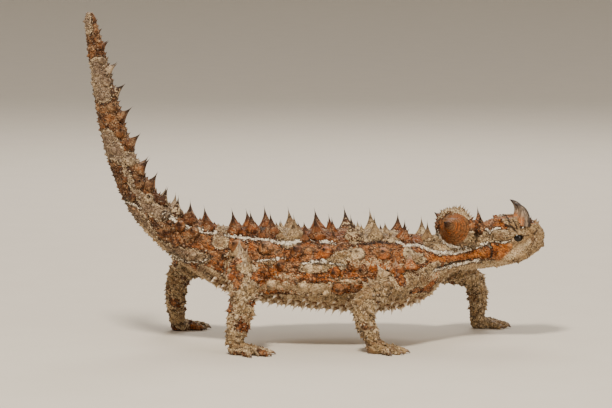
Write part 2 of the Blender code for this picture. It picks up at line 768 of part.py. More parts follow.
def build_head(model, body):
    end = body.where(0, HEAD_BACK_X)
    rings = body.rings(0.0, end, HEAD_RINGS, HEAD_SIDES, gaps=(False, True))
    nose = body.centre(0.0) + np.array([0.0003, 0, 0])
    rings.insert(0, [nose + (p - nose) * 0.55 for p in np.array(rings[0])])
    head = loft("head", rings)
    tree = BVHTree.FromObject(link_briefly(head), bpy.context.evaluated_depsgraph_get())
    path = mouth_path(tree)
    bpy.context.scene.collection.objects.unlink(head)
    places = [place for place, _ in path]
    added = [rod("lips", places, [LIP_RADIUS] * len(places), 1)]
    added += [lid("lid", side) for side in (-1, 1)]
    added += [ball("brow", mirrored(BROW_CENTRE, side), BROW_SIZE, 12, 8) for side in (-1, 1)]
    added += head_thorns(body, keep_between(body, 0.0, end, [], clearance=0.0))
    added += brow_spines()
    combine(head, added, "UNION")
    cuts = [groove("mouth", path)]
    for side in (-1, 1):
        cuts.append(ball("socket", mirrored(EYE_CENTRE, side), [EYE_RADIUS + GAP] * 3))
        cuts.append(ball("nostril", mirrored(NOSTRIL, side), [NOSTRIL_RADIUS] * 3, 8, 6))
        cuts.append(ball("ear", mirrored(EAR, side), EAR_SIZE, 10, 8))
        cuts.append(horn("horn_cutter", side, GAP))
    combine(head, cuts, "DIFFERENCE")
    add_node(model, head, "grey_hide")


def link_briefly(obj):
    bpy.context.scene.collection.objects.link(obj)
    bpy.context.view_layer.update()
    return obj


def horn(name, side, swell=0.0):
    """A horn over an eye, thick at its root and curved back to its tip."""
    root, bend, tip = (Vector(mirrored(p, side)) for p in (HORN_ROOT, HORN_BEND, HORN_TIP))
    points = []
    radii = []
    for i in range(6):
        t = i / 5
        points.append(root * (1 - t) ** 2 + bend * 2 * t * (1 - t) + tip * t**2)
        radii.append(HORN_RADIUS * (1 - t) ** 0.8 + HORN_TIP_RADIUS + swell)
    return rod(name, points, radii, 3)


def build_horns_and_eyes(model):
    for side, word in ((-1, "right"), (1, "left")):
        add_node(model, horn(f"horn_{word}", side), "horn")
        eye = bake_place(ball(f"eye_{word}", mirrored(EYE_CENTRE, side), [EYE_RADIUS] * 3))
        add_node(model, eye, "eye")


# Thorns of a limb: share of its length, angle with 90 outside the bend, height, radius
LIMB_THORNS = (
    (0.28, 92, 0.0048, 0.0020, True),
    (0.43, 88, 0.0054, 0.0021, True),
    (0.36, 40, 0.0022, 0.0011, False),
    (0.36, 140, 0.0022, 0.0011, False),
    (0.47, 20, 0.0024, 0.0012, False),
    (0.47, 158, 0.0024, 0.0012, False),
    (0.60, 90, 0.0028, 0.0014, True),
    (0.64, 25, 0.0021, 0.0011, False),
    (0.64, 160, 0.0021, 0.0011, False),
    (0.70, 85, 0.0021, 0.0011, False),
    (0.76, 15, 0.0018, 0.0010, False),
    (0.76, 165, 0.0018, 0.0010, False),
    (0.81, 70, 0.0016, 0.0009, False),
    (0.70, 225, 0.0013, 0.0008, False),
    (0.72, 315, 0.0013, 0.0008, False),
)


def build_limb(model, body, key, number):
    """Two lengths of one limb, the upper one hollowed to fit the trunk."""
    tube = limb_tube(LIMBS[key])
    kind, word = key.split("_")
    upper_name, lower_name = LIMB_NODES[kind]
    knee = tube.knots[2]
    cuts = ((0.0, knee), (knee, tube.length))
    trunk_start, trunk_end = body.where(0, 0.0420), body.where(0, -0.0400)
    for part, name in enumerate((upper_name, lower_name)):
        start, end = cuts[part]
        rings = tube.rings(start, end, (7, 7)[part], LIMB_SIDES, gaps=(part == 1, True))
        length = loft(f"{name}_{word}", rings)
        thorns = Thorns(SEED + 20 + 2 * number + part)
        keep = keep_between(tube, start, end, [body], clearance=0.0004)
        for share, angle, height, radius, slender in LIMB_THORNS:
            along = share * tube.length
            if not start < along < end:
                continue
            root = tube.point(along, angle)
            out = tube.normal(along, angle) + tube.frame(along)[0] * 0.15
            out /= np.linalg.norm(out)
            tall = height * thorns.random.uniform(0.9, 1.1)
            if keep(root, out, tall, radius):
                thorns.grow(root, out, tall, radius, slender)
        combine(length, thorns.pieces, "UNION")
        if part == 0:
            under = body.rings(trunk_start, trunk_end, 24, BODY_SIDES, swell=GAP, gaps=(False, False))
            combine(length, [loft("trunk_cutter", under)], "DIFFERENCE")
        add_node(model, length, "grey_hide")


def toe(name, start, way, length):
    """One toe, arched from the palm and set down on its tip."""
    points = [start + way * length * share + Vector((0, 0, height)) for share, height, _ in TOE_PLAN]
    return rod(name, points, [TOE_RADIUS * girth for _, _, girth in TOE_PLAN], 1)


def claw(name, root, way):
    """A slim claw that runs on from a toe and hooks down."""
    points = [root + way * reach + Vector((0, 0, height)) for reach, height, _ in CLAW_PLAN]
    return rod(name, points, [girth for _, _, girth in CLAW_PLAN], 0)


def build_foot(model, key):
    """A palm under the wrist or ankle, with five clawed toes and a flat sole."""
    tube = limb_tube(LIMBS[key])
    kind, word = key.split("_")
    name = ("hand_" if kind == "arm" else "foot_") + word
    end = Vector(tube.centre(tube.length))
    heading = math.radians(FOOT_HEADINGS[key])
    side = 1 if word == "left" else -1
    toes = HAND_TOES if kind == "arm" else FOOT_TOES
    forward = Vector((math.cos(heading), math.sin(heading), 0))
    middle = Vector((end.x, end.y, 0)) + forward * 0.0016
    palm = ball(name, (0, 0, 0), (PALM_LENGTH, PALM_BREADTH, PALM_HEIGHT), 12, 7)
    palm.matrix_basis = Matrix.Translation(middle + Vector((0, 0, 0.0014))) @ Matrix.Rotation(heading, 4, "Z")
    bake_place(palm)
    pieces = []
    for number, (spread, length) in enumerate(toes):
        turn = heading + side * math.radians(spread)
        way = Vector((math.cos(turn), math.sin(turn), 0))
        start = middle + way * 0.0010
        pieces.append(toe(f"toe_{number}", start, way, length))
        pieces.append(claw(f"claw_{number}", start + way * length, way))
    ankle = tube.frame(tube.length)[0]
    stem = [tube.ring(tube.length, LIMB_SIDES, 0.0, GAP / 2)]
    stem.append([p + ankle * 0.0014 for p in stem[0]])
    pieces.append(loft("ankle", stem))
    combine(palm, pieces, "UNION")
    combine(palm, [floor_block(), ankle_block(tube)], "DIFFERENCE")
    add_node(model, palm, "grey_hide")


def box_between(name, low, high):
    mesh = bpy.data.meshes.new(name)
    bm = bmesh.new()
    bmesh.ops.create_cube(bm, size=1.0)
    bmesh.ops.scale(bm, vec=Vector(high) - Vector(low), verts=bm.verts)
    bmesh.ops.translate(bm, vec=(Vector(high) + Vector(low)) / 2, verts=bm.verts)
    bm.to_mesh(mesh)
    bm.free()
    return bpy.data.objects.new(name, mesh)


def floor_block():
    """Everything below the soles."""
    return box_between("floor_cutter", (-0.09, -0.06, -0.01), (0.09, 0.06, 0.0))


def ankle_block(tube):
    """Everything on the leg's side of the cut between a leg and its foot."""
    block = box_between("ankle_cutter", (-0.012, -0.012, -0.01), (0.012, 0.012, 0.0))
    tangent, across, up = (Vector(v) for v in tube.frame(tube.length))
    turn = Matrix((across, up, tangent)).transposed().to_4x4()
    turn.translation = Vector(tube.centre(tube.length)) + tangent * (GAP / 2)
    block.matrix_basis = turn
    return bake_place(block)


def centre_on_origin(model):
    """Moves the model sideways until the middle of its outline stands over the origin."""
    points = [v.co for obj in model.objects for v in obj.data.vertices]
    middle = [(min(p[i] for p in points) + max(p[i] for p in points)) / 2 for i in (0, 1)]
    for obj in model.objects:
        obj.data.transform(Matrix.Translation((-middle[0], -middle[1], 0)))


def main():
    clear_scene()
    model = collection("thorny_devil")
    body = body_tube()
    limbs = [limb_tube(joints) for joints in LIMBS.values()]
    build_head(model, body)
    build_horns_and_eyes(model)
    build_neck(model, body)
    build_knob(model, body)
    build_trunk(model, body, limbs)
    build_tail(model, body)
    for number, key in enumerate(LIMBS):
        build_limb(model, body, key, number)
        build_foot(model, key)
    centre_on_origin(model)


main()
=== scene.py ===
"""Thorny devil: one skin, its thorns and scales, eyes, horns and claws.

The hide is built round the same centre lines and sizes as the solids. One skin is
wrapped round body, limbs, toes and knob, then thorns and scales stand on it. Its
markings are laid out on the animal's right side and mirrored on its left.
"""

import math
import random
from collections import namedtuple

import bmesh
import bpy
import numpy as np
from mathutils import Matrix, Vector
from mathutils.bvhtree import BVHTree


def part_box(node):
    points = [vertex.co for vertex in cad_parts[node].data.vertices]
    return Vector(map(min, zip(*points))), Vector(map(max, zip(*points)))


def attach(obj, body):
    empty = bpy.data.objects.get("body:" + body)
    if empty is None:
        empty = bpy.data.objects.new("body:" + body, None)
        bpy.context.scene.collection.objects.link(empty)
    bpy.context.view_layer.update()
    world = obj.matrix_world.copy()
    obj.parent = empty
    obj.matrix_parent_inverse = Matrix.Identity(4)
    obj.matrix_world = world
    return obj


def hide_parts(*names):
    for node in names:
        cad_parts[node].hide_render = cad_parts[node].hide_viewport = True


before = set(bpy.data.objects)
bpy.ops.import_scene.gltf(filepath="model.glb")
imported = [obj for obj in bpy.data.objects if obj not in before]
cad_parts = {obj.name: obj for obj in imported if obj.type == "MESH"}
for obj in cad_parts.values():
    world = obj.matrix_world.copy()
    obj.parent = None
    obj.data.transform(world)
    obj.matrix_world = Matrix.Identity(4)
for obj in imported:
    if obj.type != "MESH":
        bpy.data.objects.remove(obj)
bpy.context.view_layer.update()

Thorn = namedtuple("Thorn", "root out lean height radius")

SEED = 11
# Side view scale of the markings: metres to a step, and the place of x = 0 and z = 0
STEP = 0.0003
ORIGIN_ACROSS = 315.0
ORIGIN_DOWN = 342.0
# The sideways and upward slant of the side view
VIEW_TURN = 4.0
VIEW_RISE = 6.0

# Centre line of the body from snout to tail tip: x, z, half breadth, half depth
BODY = (
    (0.0690, 0.0305, 0.0026, 0.0026),
    (0.0678, 0.0306, 0.0042, 0.0038),
    (0.0648, 0.0306, 0.0059, 0.0056),
    (0.0609, 0.0302, 0.0072, 0.0067),
    (0.0570, 0.0297, 0.0080, 0.0072),
    (0.0535, 0.0289, 0.0077, 0.0070),
    (0.0500, 0.0277, 0.0068, 0.0062),
    (0.0460, 0.0270, 0.0065, 0.0057),
    (0.0420, 0.0265, 0.0071, 0.0056),
    (0.0380, 0.0256, 0.0090, 0.0063),
    (0.0340, 0.0242, 0.0122, 0.0081),
    (0.0295, 0.0225, 0.0154, 0.0102),
    (0.0235, 0.0216, 0.0180, 0.0114),
    (0.0150, 0.0214, 0.0196, 0.0119),
    (0.0050, 0.0218, 0.0200, 0.0117),
    (-0.0050, 0.0224, 0.0190, 0.0112),
    (-0.0140, 0.0232, 0.0164, 0.0109),
    (-0.0210, 0.0242, 0.0133, 0.0104),
    (-0.0275, 0.0259, 0.0105, 0.0090),
    (-0.0345, 0.0288, 0.0083, 0.0073),
    (-0.0415, 0.0329, 0.0069, 0.0061),
    (-0.0475, 0.0377, 0.0059, 0.0052),
    (-0.0525, 0.0439, 0.0052, 0.0046),
    (-0.0565, 0.0520, 0.0046, 0.0041),
    (-0.0600, 0.0625, 0.0041, 0.0037),
    (-0.0628, 0.0745, 0.0034, 0.0031),
    (-0.0647, 0.0845, 0.0027, 0.0025),
    (-0.0662, 0.0920, 0.0022, 0.0020),
    (-0.0671, 0.0975, 0.0016, 0.0015),
    (-0.0673, 0.0991, 0.0009, 0.0009),
)
TRUNK_SQUARENESS = 2.3
TRUNK_BACK_X = -0.0315
# The blunt nose ahead of the first station: how far, and its size as a share of the station's
NOSE_AHEAD = 0.0004
NOSE_SHARE = 0.6

# Centre lines of the limbs, from inside the trunk to the ankle: x, y, z, half breadth, half depth
LIMBS = {
    "arm_right": (
        (0.0300, -0.0100, 0.0205, 0.0042, 0.0040),
        (0.0220, -0.0195, 0.0194, 0.0038, 0.0035),
        (0.0134, -0.0258, 0.0156, 0.0032, 0.0032),
        (0.0128, -0.0270, 0.0096, 0.0031, 0.0027),
        (0.0150, -0.0270, 0.0040, 0.0025, 0.0022),
    ),
    "arm_left": (
        (0.0300, 0.0090, 0.0195, 0.0040, 0.0038),
        (0.0415, 0.0158, 0.0184, 0.0035, 0.0033),
        (0.0503, 0.0208, 0.0155, 0.0030, 0.0030),
        (0.0520, 0.0222, 0.0096, 0.0029, 0.0026),
        (0.0520, 0.0226, 0.0040, 0.0025, 0.0022),
    ),
    "leg_right": (
        (-0.0225, -0.0050, 0.0230, 0.0050, 0.0048),
        (-0.0230, -0.0160, 0.0223, 0.0046, 0.0043),
        (-0.0230, -0.0248, 0.0186, 0.0038, 0.0038),
        (-0.0240, -0.0268, 0.0112, 0.0034, 0.0029),
        (-0.0256, -0.0268, 0.0042, 0.0026, 0.0023),
    ),
    "leg_left": (
        (-0.0225, 0.0050, 0.0230, 0.0050, 0.0048),
        (-0.0312, 0.0134, 0.0223, 0.0044, 0.0041),
        (-0.0392, 0.0204, 0.0193, 0.0036, 0.0036),
        (-0.0412, 0.0232, 0.0114, 0.0032, 0.0028),
        (-0.0408, 0.0240, 0.0042, 0.0026, 0.0023),
    ),
}
# Which way each foot points, in degrees, and each toe's own turn and length
FOOT_HEADINGS = {"arm_right": -12, "arm_left": 18, "leg_right": -8, "leg_left": 30}
HAND_TOES = ((-52, 0.0052), (-24, 0.0064), (0, 0.0070), (24, 0.0064), (52, 0.0052))
FOOT_TOES = ((-44, 0.0054), (-20, 0.0068), (2, 0.0080), (26, 0.0082), (62, 0.0060))
TOE_RADIUS = 0.00115
# Share of a toe's length, height and girth, then a claw's reach, height and radius
TOE_PLAN = ((0.0, 0.0013, 1.0), (0.5, 0.0014, 0.95), (1.0, 0.0007, 0.70))
CLAW_PLAN = ((-0.0008, 0.0008, 0.00055), (0.0006, 0.0009, 0.00045), (0.0016, 0.0003, 0.00012))
PALM_SIZE = (0.0035, 0.0030, 0.0021)
PALM_HEIGHT = 0.0015
# How far a limb runs into its foot, and how far foot and toes start ahead of the ankle
ANKLE_REACH = 0.0016
FOOT_AHEAD = 0.0016
TOES_AHEAD = 0.0010

EYE_CENTRE = (0.0605, 0.0063, 0.0314)
EYE_RADIUS = 0.0017
KNOB_CENTRE = (0.0420, 0.0, 0.0341)
KNOB_SIZE = (0.0053, 0.0090, 0.0053)
KNOB_CONE_ROOT = (0.0420, 0.0056, 0.0339)
KNOB_CONE_TIP = (0.0374, 0.0134, 0.0372)
KNOB_CONE_RADIUS = 0.0050
KNOB_RIM_RADIUS = 0.00075
# Cone profiles: share of the length and share of the radius
KNOB_PROFILE = ((-0.25, 0.9), (0, 0.98), (0.08, 0.93), (0.28, 0.66), (0.55, 0.32), (0.82, 0.11), (1, 0.02))
BROW_PROFILE = ((-0.3, 0.85), (0, 1.0), (0.25, 0.80), (0.5, 0.52), (0.75, 0.26), (1, 0.03))
HORN_ROOT = (0.0622, 0.0042, 0.0352)
HORN_BEND = (0.0636, 0.0048, 0.0398)
HORN_TIP = (0.0596, 0.0050, 0.0418)
HORN_RADIUS = 0.0024
HORN_TAPER = 0.85
HORN_POINT = 0.00008
HORN_RIDGE = 0.00006

# The skin: size of its voxels and its count of triangles
VOXEL = 0.0003
SKIN_TRIANGLES = 188000
# How much of the head is spared from thinning, where it starts by x and z, and the steps between
HEAD_SPARED = 0.92
SPARED_X = (0.034, 0.040)
SPARED_Z = (0.024, 0.028)
SPARED_STEPS = 20


def sideways_shift():
    """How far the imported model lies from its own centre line, from the two eyes."""
    boxes = [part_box("eye_right"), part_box("eye_left")]
    centres = [[(low[i] + high[i]) / 2 for i in range(3)] for low, high in boxes]
    middle = [(centres[0][i] + centres[1][i]) / 2 for i in range(3)]
    return Vector((middle[0] - EYE_CENTRE[0], middle[1], 0.0))


SHIFT = sideways_shift()


def smoothed(low, high, values):
    """0 below low, 1 above high and a smooth rise between."""
    t = np.clip((values - low) / (high - low), 0.0, 1.0)
    return t * t * (3 - 2 * t)


def hermite(knots, values, along):
    """Smooth curve through values at knots, evaluated at many distances."""
    steps = np.diff(values, axis=0) / np.diff(knots)[:, None]
    inner = (values[2:] - values[:-2]) / (knots[2:] - knots[:-2])[:, None]
    slopes = np.vstack([steps[:1], inner, steps[-1:]])
    i = np.clip(np.searchsorted(knots, along) - 1, 0, len(knots) - 2)
    span = (knots[i + 1] - knots[i])[:, None]
    t = ((along - knots[i]) / (knots[i + 1] - knots[i]))[:, None]
    return (
        values[i] * (2 * t**3 - 3 * t**2 + 1)
        + slopes[i] * span * (t**3 - 2 * t**2 + t)
        + values[i + 1] * (3 * t**2 - 2 * t**3)
        + slopes[i + 1] * span * (t**3 - t**2)
    )


class Tube:
    """A tapering tube, the same as the solids', that many points can be asked of at once."""

    def __init__(self, stations, across, squareness):
        table = np.array(stations, float)
        lengths = np.linalg.norm(np.diff(table[:, :3], axis=0), axis=1)
        knots = np.concatenate([[0.0], np.cumsum(lengths)])
        self.length = float(knots[-1])
        self.power = 2.0 / squareness
        self.along = np.linspace(0, self.length, 481)
        rows = hermite(knots, table, self.along)
        self.centres = rows[:, :3]
        self.sizes = rows[:, 3:]
        tangents = np.gradient(self.centres, axis=0)
        self.tangents = tangents / np.linalg.norm(tangents, axis=1)[:, None]
        ups = np.cross(np.array(across, float), self.tangents)
        self.ups = ups / np.linalg.norm(ups, axis=1)[:, None]
        self.acrosses = np.cross(self.tangents, self.ups)

    def at(self, table, along):
        return np.column_stack([np.interp(along, self.along, column) for column in table.T])

    def points(self, along, angles, swell=0.0):
        """Surface points at those distances and angles in degrees."""
        along, angles = np.atleast_1d(along), np.atleast_1d(angles)
        sizes = self.at(self.sizes, along) + swell
        c, s = np.cos(np.radians(angles)), np.sin(np.radians(angles))
        side = np.sign(c) * np.abs(c) ** self.power * sizes[:, 0]
        rise = np.sign(s) * np.abs(s) ** self.power * sizes[:, 1]
        across = self.at(self.acrosses, along) * side[:, None]
        return self.at(self.centres, along) + across + self.at(self.ups, along) * rise[:, None]

    def point(self, along, angle):
        return self.points(along, angle)[0]

    def tangent(self, along):
        return self.at(self.tangents, np.atleast_1d(along))[0]

    def normal(self, along, angle):
        step = self.length * 0.004
        a, b = max(along - step, 0.0), min(along + step, self.length)
        lengthwise = self.point(b, angle) - self.point(a, angle)
        around = self.point(along, angle + 4) - self.point(along, angle - 4)
        out = np.cross(lengthwise, around)
        out /= np.linalg.norm(out)
        outward = self.point(along, angle) - self.at(self.centres, np.atleast_1d(along))[0]
        return out if np.dot(out, outward) > 0 else -out

    def where(self, axis, value):
        """Distance along the tube at which its centre last passes that coordinate."""
        found = self.centres[:, axis] - value
        before = np.nonzero(np.diff(np.sign(found)))[0][-1]
        share = found[before] / (found[before] - found[before + 1])
        return float(self.along[before] + share * (self.along[before + 1] - self.along[before]))

    def locate(self, points):
        """Distance along, angle round and distance outside the tube for many points."""
        near = np.empty(len(points), int)
        squares = (self.centres**2).sum(axis=1)
        for first in range(0, len(points), 20000):
            part = points[first : first + 20000]
            near[first : first + 20000] = np.argmin(squares - 2 * part @ self.centres.T, axis=1)
        offset = points - self.centres[near]
        a = (offset * self.acrosses[near]).sum(axis=1) / self.sizes[near, 0]
        b = (offset * self.ups[near]).sum(axis=1) / self.sizes[near, 1]
        reach = np.linalg.norm(offset, axis=1)
        share = np.maximum(np.hypot(a, b), 1e-6)
        edge = np.minimum(reach / share, self.sizes[near].max(axis=1))
        bent_a = np.sign(a) * np.abs(a) ** (1 / self.power)
        bent_b = np.sign(b) * np.abs(b) ** (1 / self.power)
        return self.along[near], np.degrees(np.arctan2(bent_b, bent_a)), reach - edge


def body_tube():
    stations = [(x, 0.0, z, breadth, depth) for x, z, breadth, depth in BODY]
    return Tube(stations, (0, 1, 0), TRUNK_SQUARENESS)


def limb_tube(joints):
    """A limb's tube, with 90 on the outside of its bend."""
    centres = [np.array(joint[:3]) for joint in joints]
    hinge = np.cross(centres[4] - centres[2], centres[2] - centres[0])
    hinge /= np.linalg.norm(hinge)
    return Tube(joints, hinge, 2.0)


BODY_TUBE = body_tube()
LIMB_TUBES = {key: limb_tube(joints) for key, joints in LIMBS.items()}
TUBES = [BODY_TUBE, *LIMB_TUBES.values()]


def new_object(name, data):
    obj = bpy.data.objects.new(name, data)
    bpy.context.scene.collection.objects.link(obj)
    return obj


def mesh_of(bm, name):
    """A mesh with the surface of a bmesh, which is freed."""
    mesh = bpy.data.meshes.new(name)
    bm.to_mesh(mesh)
    bm.free()
    return mesh


def evenly(count):
    """Angles that part a full turn evenly."""
    return [2 * math.pi * i / count for i in range(count)]


def band(bm, first, second):
    """Adds the faces between two rings of vertices."""
    for i in range(len(first)):
        j = (i + 1) % len(first)
        bm.faces.new((first[i], first[j], second[j], second[i]))


def loft(bm, rings):
    """Adds a closed surface through rings of equal point counts, with flat ends."""
    loops = [[bm.verts.new(p) for p in ring] for ring in rings]
    for first, second in zip(loops, loops[1:]):
        band(bm, first, second)
    bm.faces.new(loops[0])
    bm.faces.new(loops[-1])


def add_ball(bm, centre, size, turn=None, segments=32, rings=20):
    matrix = Matrix.Translation(centre) @ (turn or Matrix.Identity(4)) @ Matrix.Diagonal((*size, 1.0))
    bmesh.ops.create_uvsphere(bm, u_segments=segments, v_segments=rings, radius=1.0, matrix=matrix)


def tube_rings(tube, sides, count):
    """Rings of points round a tube, from its start to its end."""
    angles = np.arange(sides) * 360.0 / sides
    return [tube.points(np.full(sides, s), angles) for s in np.linspace(0, tube.length, count)]


def rod_end(ring, centre, way, radius):
    """A smaller ring that rounds off a rod's end."""
    return centre + (ring - centre) * 0.75 + way * radius * 0.5


def add_rod(bm, points, radii, sides=14, smooth=5):
    """Adds a round rod through points, rounded off at both ends."""
    table = np.column_stack([np.array(points, float), np.array(radii, float), np.array(radii, float)])
    tube = Tube(table, rod_across(points), 2.0)
    rings = tube_rings(tube, sides, smooth * (len(points) - 1) + 1)
    first = rod_end(rings[0], tube.centres[0], -tube.tangents[0], radii[0])
    last = rod_end(rings[-1], tube.centres[-1], tube.tangents[-1], radii[-1])
    loft(bm, [first, *rings, last])


def rod_across(points):
    """A direction that no stretch of a rod runs along."""
    run = np.array(points[-1], float) - np.array(points[0], float)
    return (0, 0, 1) if abs(run[2]) < np.linalg.norm(run) * 0.8 else (0, 1, 0)


def mirrored(point, side):
    return Vector((point[0], side * point[1], point[2]))


def of_vertices(mesh, what):
    """The places, called co, or the normals of a mesh's vertices."""
    values = np.empty(len(mesh.vertices) * 3, np.float32)
    mesh.vertices.foreach_get(what, values)
    return values.reshape(-1, 3).astype(float)


def set_coordinates(mesh, points):
    mesh.vertices.foreach_set("co", points.astype(np.float32).ravel())
    mesh.update()


def store(mesh, name, values):
    """Stores one number, or one pair, for each vertex under that name."""
    pair = values.ndim == 2
    stored = mesh.attributes.new(name, "FLOAT2" if pair else "FLOAT", "POINT")
    stored.data.foreach_set("vector" if pair else "value", values.astype(np.float32).ravel())


def evaluated(obj, name):
    """A plain mesh of an object as its modifiers leave it."""
    bpy.context.view_layer.update()
    graph = bpy.context.evaluated_depsgraph_get()
    mesh = bpy.data.meshes.new_from_object(obj.evaluated_get(graph))
    mesh.name = name
    return mesh


def settled(obj, name):
    """An object of the plain mesh, in place of the one with modifiers."""
    mesh = evaluated(obj, name)
    bpy.data.objects.remove(obj)
    return new_object(name, mesh)


def add_body(bm):
    """Head, neck, trunk and tail, with a blunt nose."""
    rings = tube_rings(BODY_TUBE, sides=72, count=300)
    nose = BODY_TUBE.centres[0] + np.array([NOSE_AHEAD, 0, 0])
    rings.insert(0, nose + (rings[0] - nose) * NOSE_SHARE)
    loft(bm, rings)


def add_limb(bm, tube):
    """A limb that reaches a little way into its foot."""
    rings = tube_rings(tube, sides=28, count=60)
    rings.append(rings[-1] + tube.tangents[-1] * ANKLE_REACH)
    loft(bm, rings)


def foot_plan(key):
    """Middle of a foot, its heading and the start, way and length of each toe."""
    tube = LIMB_TUBES[key]
    end = Vector(tube.centres[-1])
    heading = math.radians(FOOT_HEADINGS[key])
    side = 1 if key.endswith("left") else -1
    forward = Vector((math.cos(heading), math.sin(heading), 0))
    middle = Vector((end.x, end.y, 0)) + forward * FOOT_AHEAD
    toes = []
    for spread, length in HAND_TOES if key.startswith("arm") else FOOT_TOES:
        turn = heading + side * math.radians(spread)
        way = Vector((math.cos(turn), math.sin(turn), 0))
        toes.append((middle + way * TOES_AHEAD, way, length))
    return middle, heading, toes


def add_foot(bm, key):
    middle, heading, toes = foot_plan(key)
    turn = Matrix.Rotation(heading, 4, "Z")
    add_ball(bm, middle + Vector((0, 0, PALM_HEIGHT)), PALM_SIZE, turn)
    for start, way, length in toes:
        points = [start + way * length * share + Vector((0, 0, h)) for share, h, _ in TOE_PLAN]
        add_rod(bm, points, [TOE_RADIUS * girth for _, _, girth in TOE_PLAN])


def cone_rings(root, tip, radius, profile, sides=28):
    """Rings of a cone whose radius follows a profile of share along and share across."""
    axis = (tip - root).normalized()
    side = axis.orthogonal().normalized()
    other = axis.cross(side)
    rings = []
    for share, girth in profile:
        centre = root + (tip - root) * share
        outs = [side * math.cos(turn) + other * math.sin(turn) for turn in evenly(sides)]
        rings.append([centre + out * radius * girth for out in outs])
    return rings


def join_rings(bm, rings):
    """Adds a closed loop of faces from ring to ring and back to the first."""
    for first, second in zip(rings, rings[1:] + rings[:1]):
        band(bm, first, second)


def add_ring(bm, centre, axis, radius, girth):
    """A closed ring of round section about an axis."""
    axis = axis.normalized()
    side = axis.orthogonal().normalized()
    other = axis.cross(side)
    rings = []
    for turn in evenly(40):
        out = side * math.cos(turn) + other * math.sin(turn)
        ring = []
        for tilt in evenly(10):
            reach = out * (radius + girth * math.cos(tilt)) + axis * girth * math.sin(tilt)
            ring.append(bm.verts.new(centre + reach))
        rings.append(ring)
    join_rings(bm, rings)


def add_knob(bm):
    """The knob on the nape and the great low cone on each of its sides."""
    add_ball(bm, Vector(KNOB_CENTRE), KNOB_SIZE)
    for side in (-1, 1):
        root, tip = mirrored(KNOB_CONE_ROOT, side), mirrored(KNOB_CONE_TIP, side)
        loft(bm, cone_rings(root, tip, KNOB_CONE_RADIUS, KNOB_PROFILE))
        add_ring(bm, root, tip - root, KNOB_CONE_RADIUS, KNOB_RIM_RADIUS)


# Swellings of the head: centre and half sizes, on both sides
HEAD_FORMS = (
    ((0.0592, 0.0044, 0.0345), (0.0046, 0.0026, 0.0024)),
    ((0.0556, 0.0056, 0.0320), (0.0036, 0.0024, 0.0022)),
    ((0.0655, 0.0030, 0.0331), (0.0030, 0.0024, 0.0026)),
    ((0.0515, 0.0050, 0.0285), (0.0028, 0.0024, 0.0034)),
    ((0.0590, 0.0050, 0.0260), (0.0052, 0.0026, 0.0022)),
)
# The brow's spine that points back, and the lids
BROW_ROOT = (0.0590, 0.0046, 0.0347)
BROW_TIP = (0.0546, 0.0057, 0.0369)
BROW_RADIUS = 0.0030
LID_RADIUS = 0.00170
LID_THICKNESS = 0.00042
LID_OPENING = (1.32, 0.78, 1.6)
LID_OUT = EYE_RADIUS * 0.62
# The mouth's height at its corners and in front, and how far round the snout it runs
MOUTH_CORNER_Z = 0.0257
MOUTH_FRONT_Z = 0.0289
MOUTH_PIVOT_X = 0.0600
MOUTH_TURN = 104
LIP_RADIUS = 0.0006


def mouth_path(count=49):
    """Points of the mouth line round the snout, from its right corner to its left."""
    bm = bmesh.new()
    add_body(bm)
    tree = BVHTree.FromBMesh(bm)
    bm.free()
    points = []
    back = math.cos(math.radians(MOUTH_TURN))
    for i in range(count):
        turn = math.radians(MOUTH_TURN * (2 * i / (count - 1) - 1))
        share = (math.cos(turn) - back) / (1 - back)
        height = MOUTH_CORNER_Z + (MOUTH_FRONT_Z - MOUTH_CORNER_Z) * share
        ray = Vector((math.cos(turn), math.sin(turn), 0.0))
        points.append(tree.ray_cast(Vector((MOUTH_PIVOT_X, 0.0, height)), ray)[0])
    return points


MOUTH = mouth_path()


def add_lid(bm, side):
    """A ring of skin round the eye, drawn to an almond opening."""
    place = Vector((EYE_CENTRE[0], side * (EYE_CENTRE[1] + LID_OUT), EYE_CENTRE[2]))
    wide, high, deep = LID_OPENING
    rings = []
    for turn in evenly(32):
        ring = []
        for tilt in evenly(10):
            reach = LID_RADIUS + LID_THICKNESS * math.cos(tilt)
            x = reach * math.cos(turn) * wide
            y = LID_THICKNESS * math.sin(tilt) * deep
            z = reach * math.sin(turn) * high
            ring.append(bm.verts.new(place + Vector((x, y, z))))
        rings.append(ring)
    join_rings(bm, rings)


def add_head_forms(bm):
    for side in (-1, 1):
        for centre, size in HEAD_FORMS:
            add_ball(bm, mirrored(centre, side), size)
        root, tip = mirrored(BROW_ROOT, side), mirrored(BROW_TIP, side)
        loft(bm, cone_rings(root, tip, BROW_RADIUS, BROW_PROFILE))
        add_lid(bm, side)
    add_rod(bm, MOUTH, [LIP_RADIUS] * len(MOUTH), sides=12, smooth=1)


def rough_skin():
    """Every form of flesh wrapped in one closed surface."""
    bm = bmesh.new()
    add_body(bm)
    for key, tube in LIMB_TUBES.items():
        add_limb(bm, tube)
        add_foot(bm, key)
    add_knob(bm)
    add_head_forms(bm)
    bmesh.ops.recalc_face_normals(bm, faces=bm.faces)
    obj = new_object("skin_forms", mesh_of(bm, "skin_forms"))
    remesh = obj.modifiers.new("wrap", "REMESH")
    remesh.mode = "VOXEL"
    remesh.voxel_size = VOXEL
    smooth = obj.modifiers.new("soften", "SMOOTH")
    smooth.factor = 0.5
    smooth.iterations = 3
    return settled(obj, "skin")


def side_view(points):
    """Places across and down in the side view, with the left side folded on the right."""
    turn, rise = math.radians(VIEW_TURN), math.radians(VIEW_RISE)
    out = np.abs(points[:, 1])
    across = points[:, 0] * math.cos(turn) + out * math.sin(turn)
    up = points[:, 2] * math.cos(rise) - out * math.sin(rise)
    return ORIGIN_ACROSS + across / STEP, ORIGIN_DOWN - up / STEP


def from_spine(angles):
    """How far round from the spine those angles of the body lie, in degrees."""
    return np.abs((angles - 90 + 180) % 360 - 180)


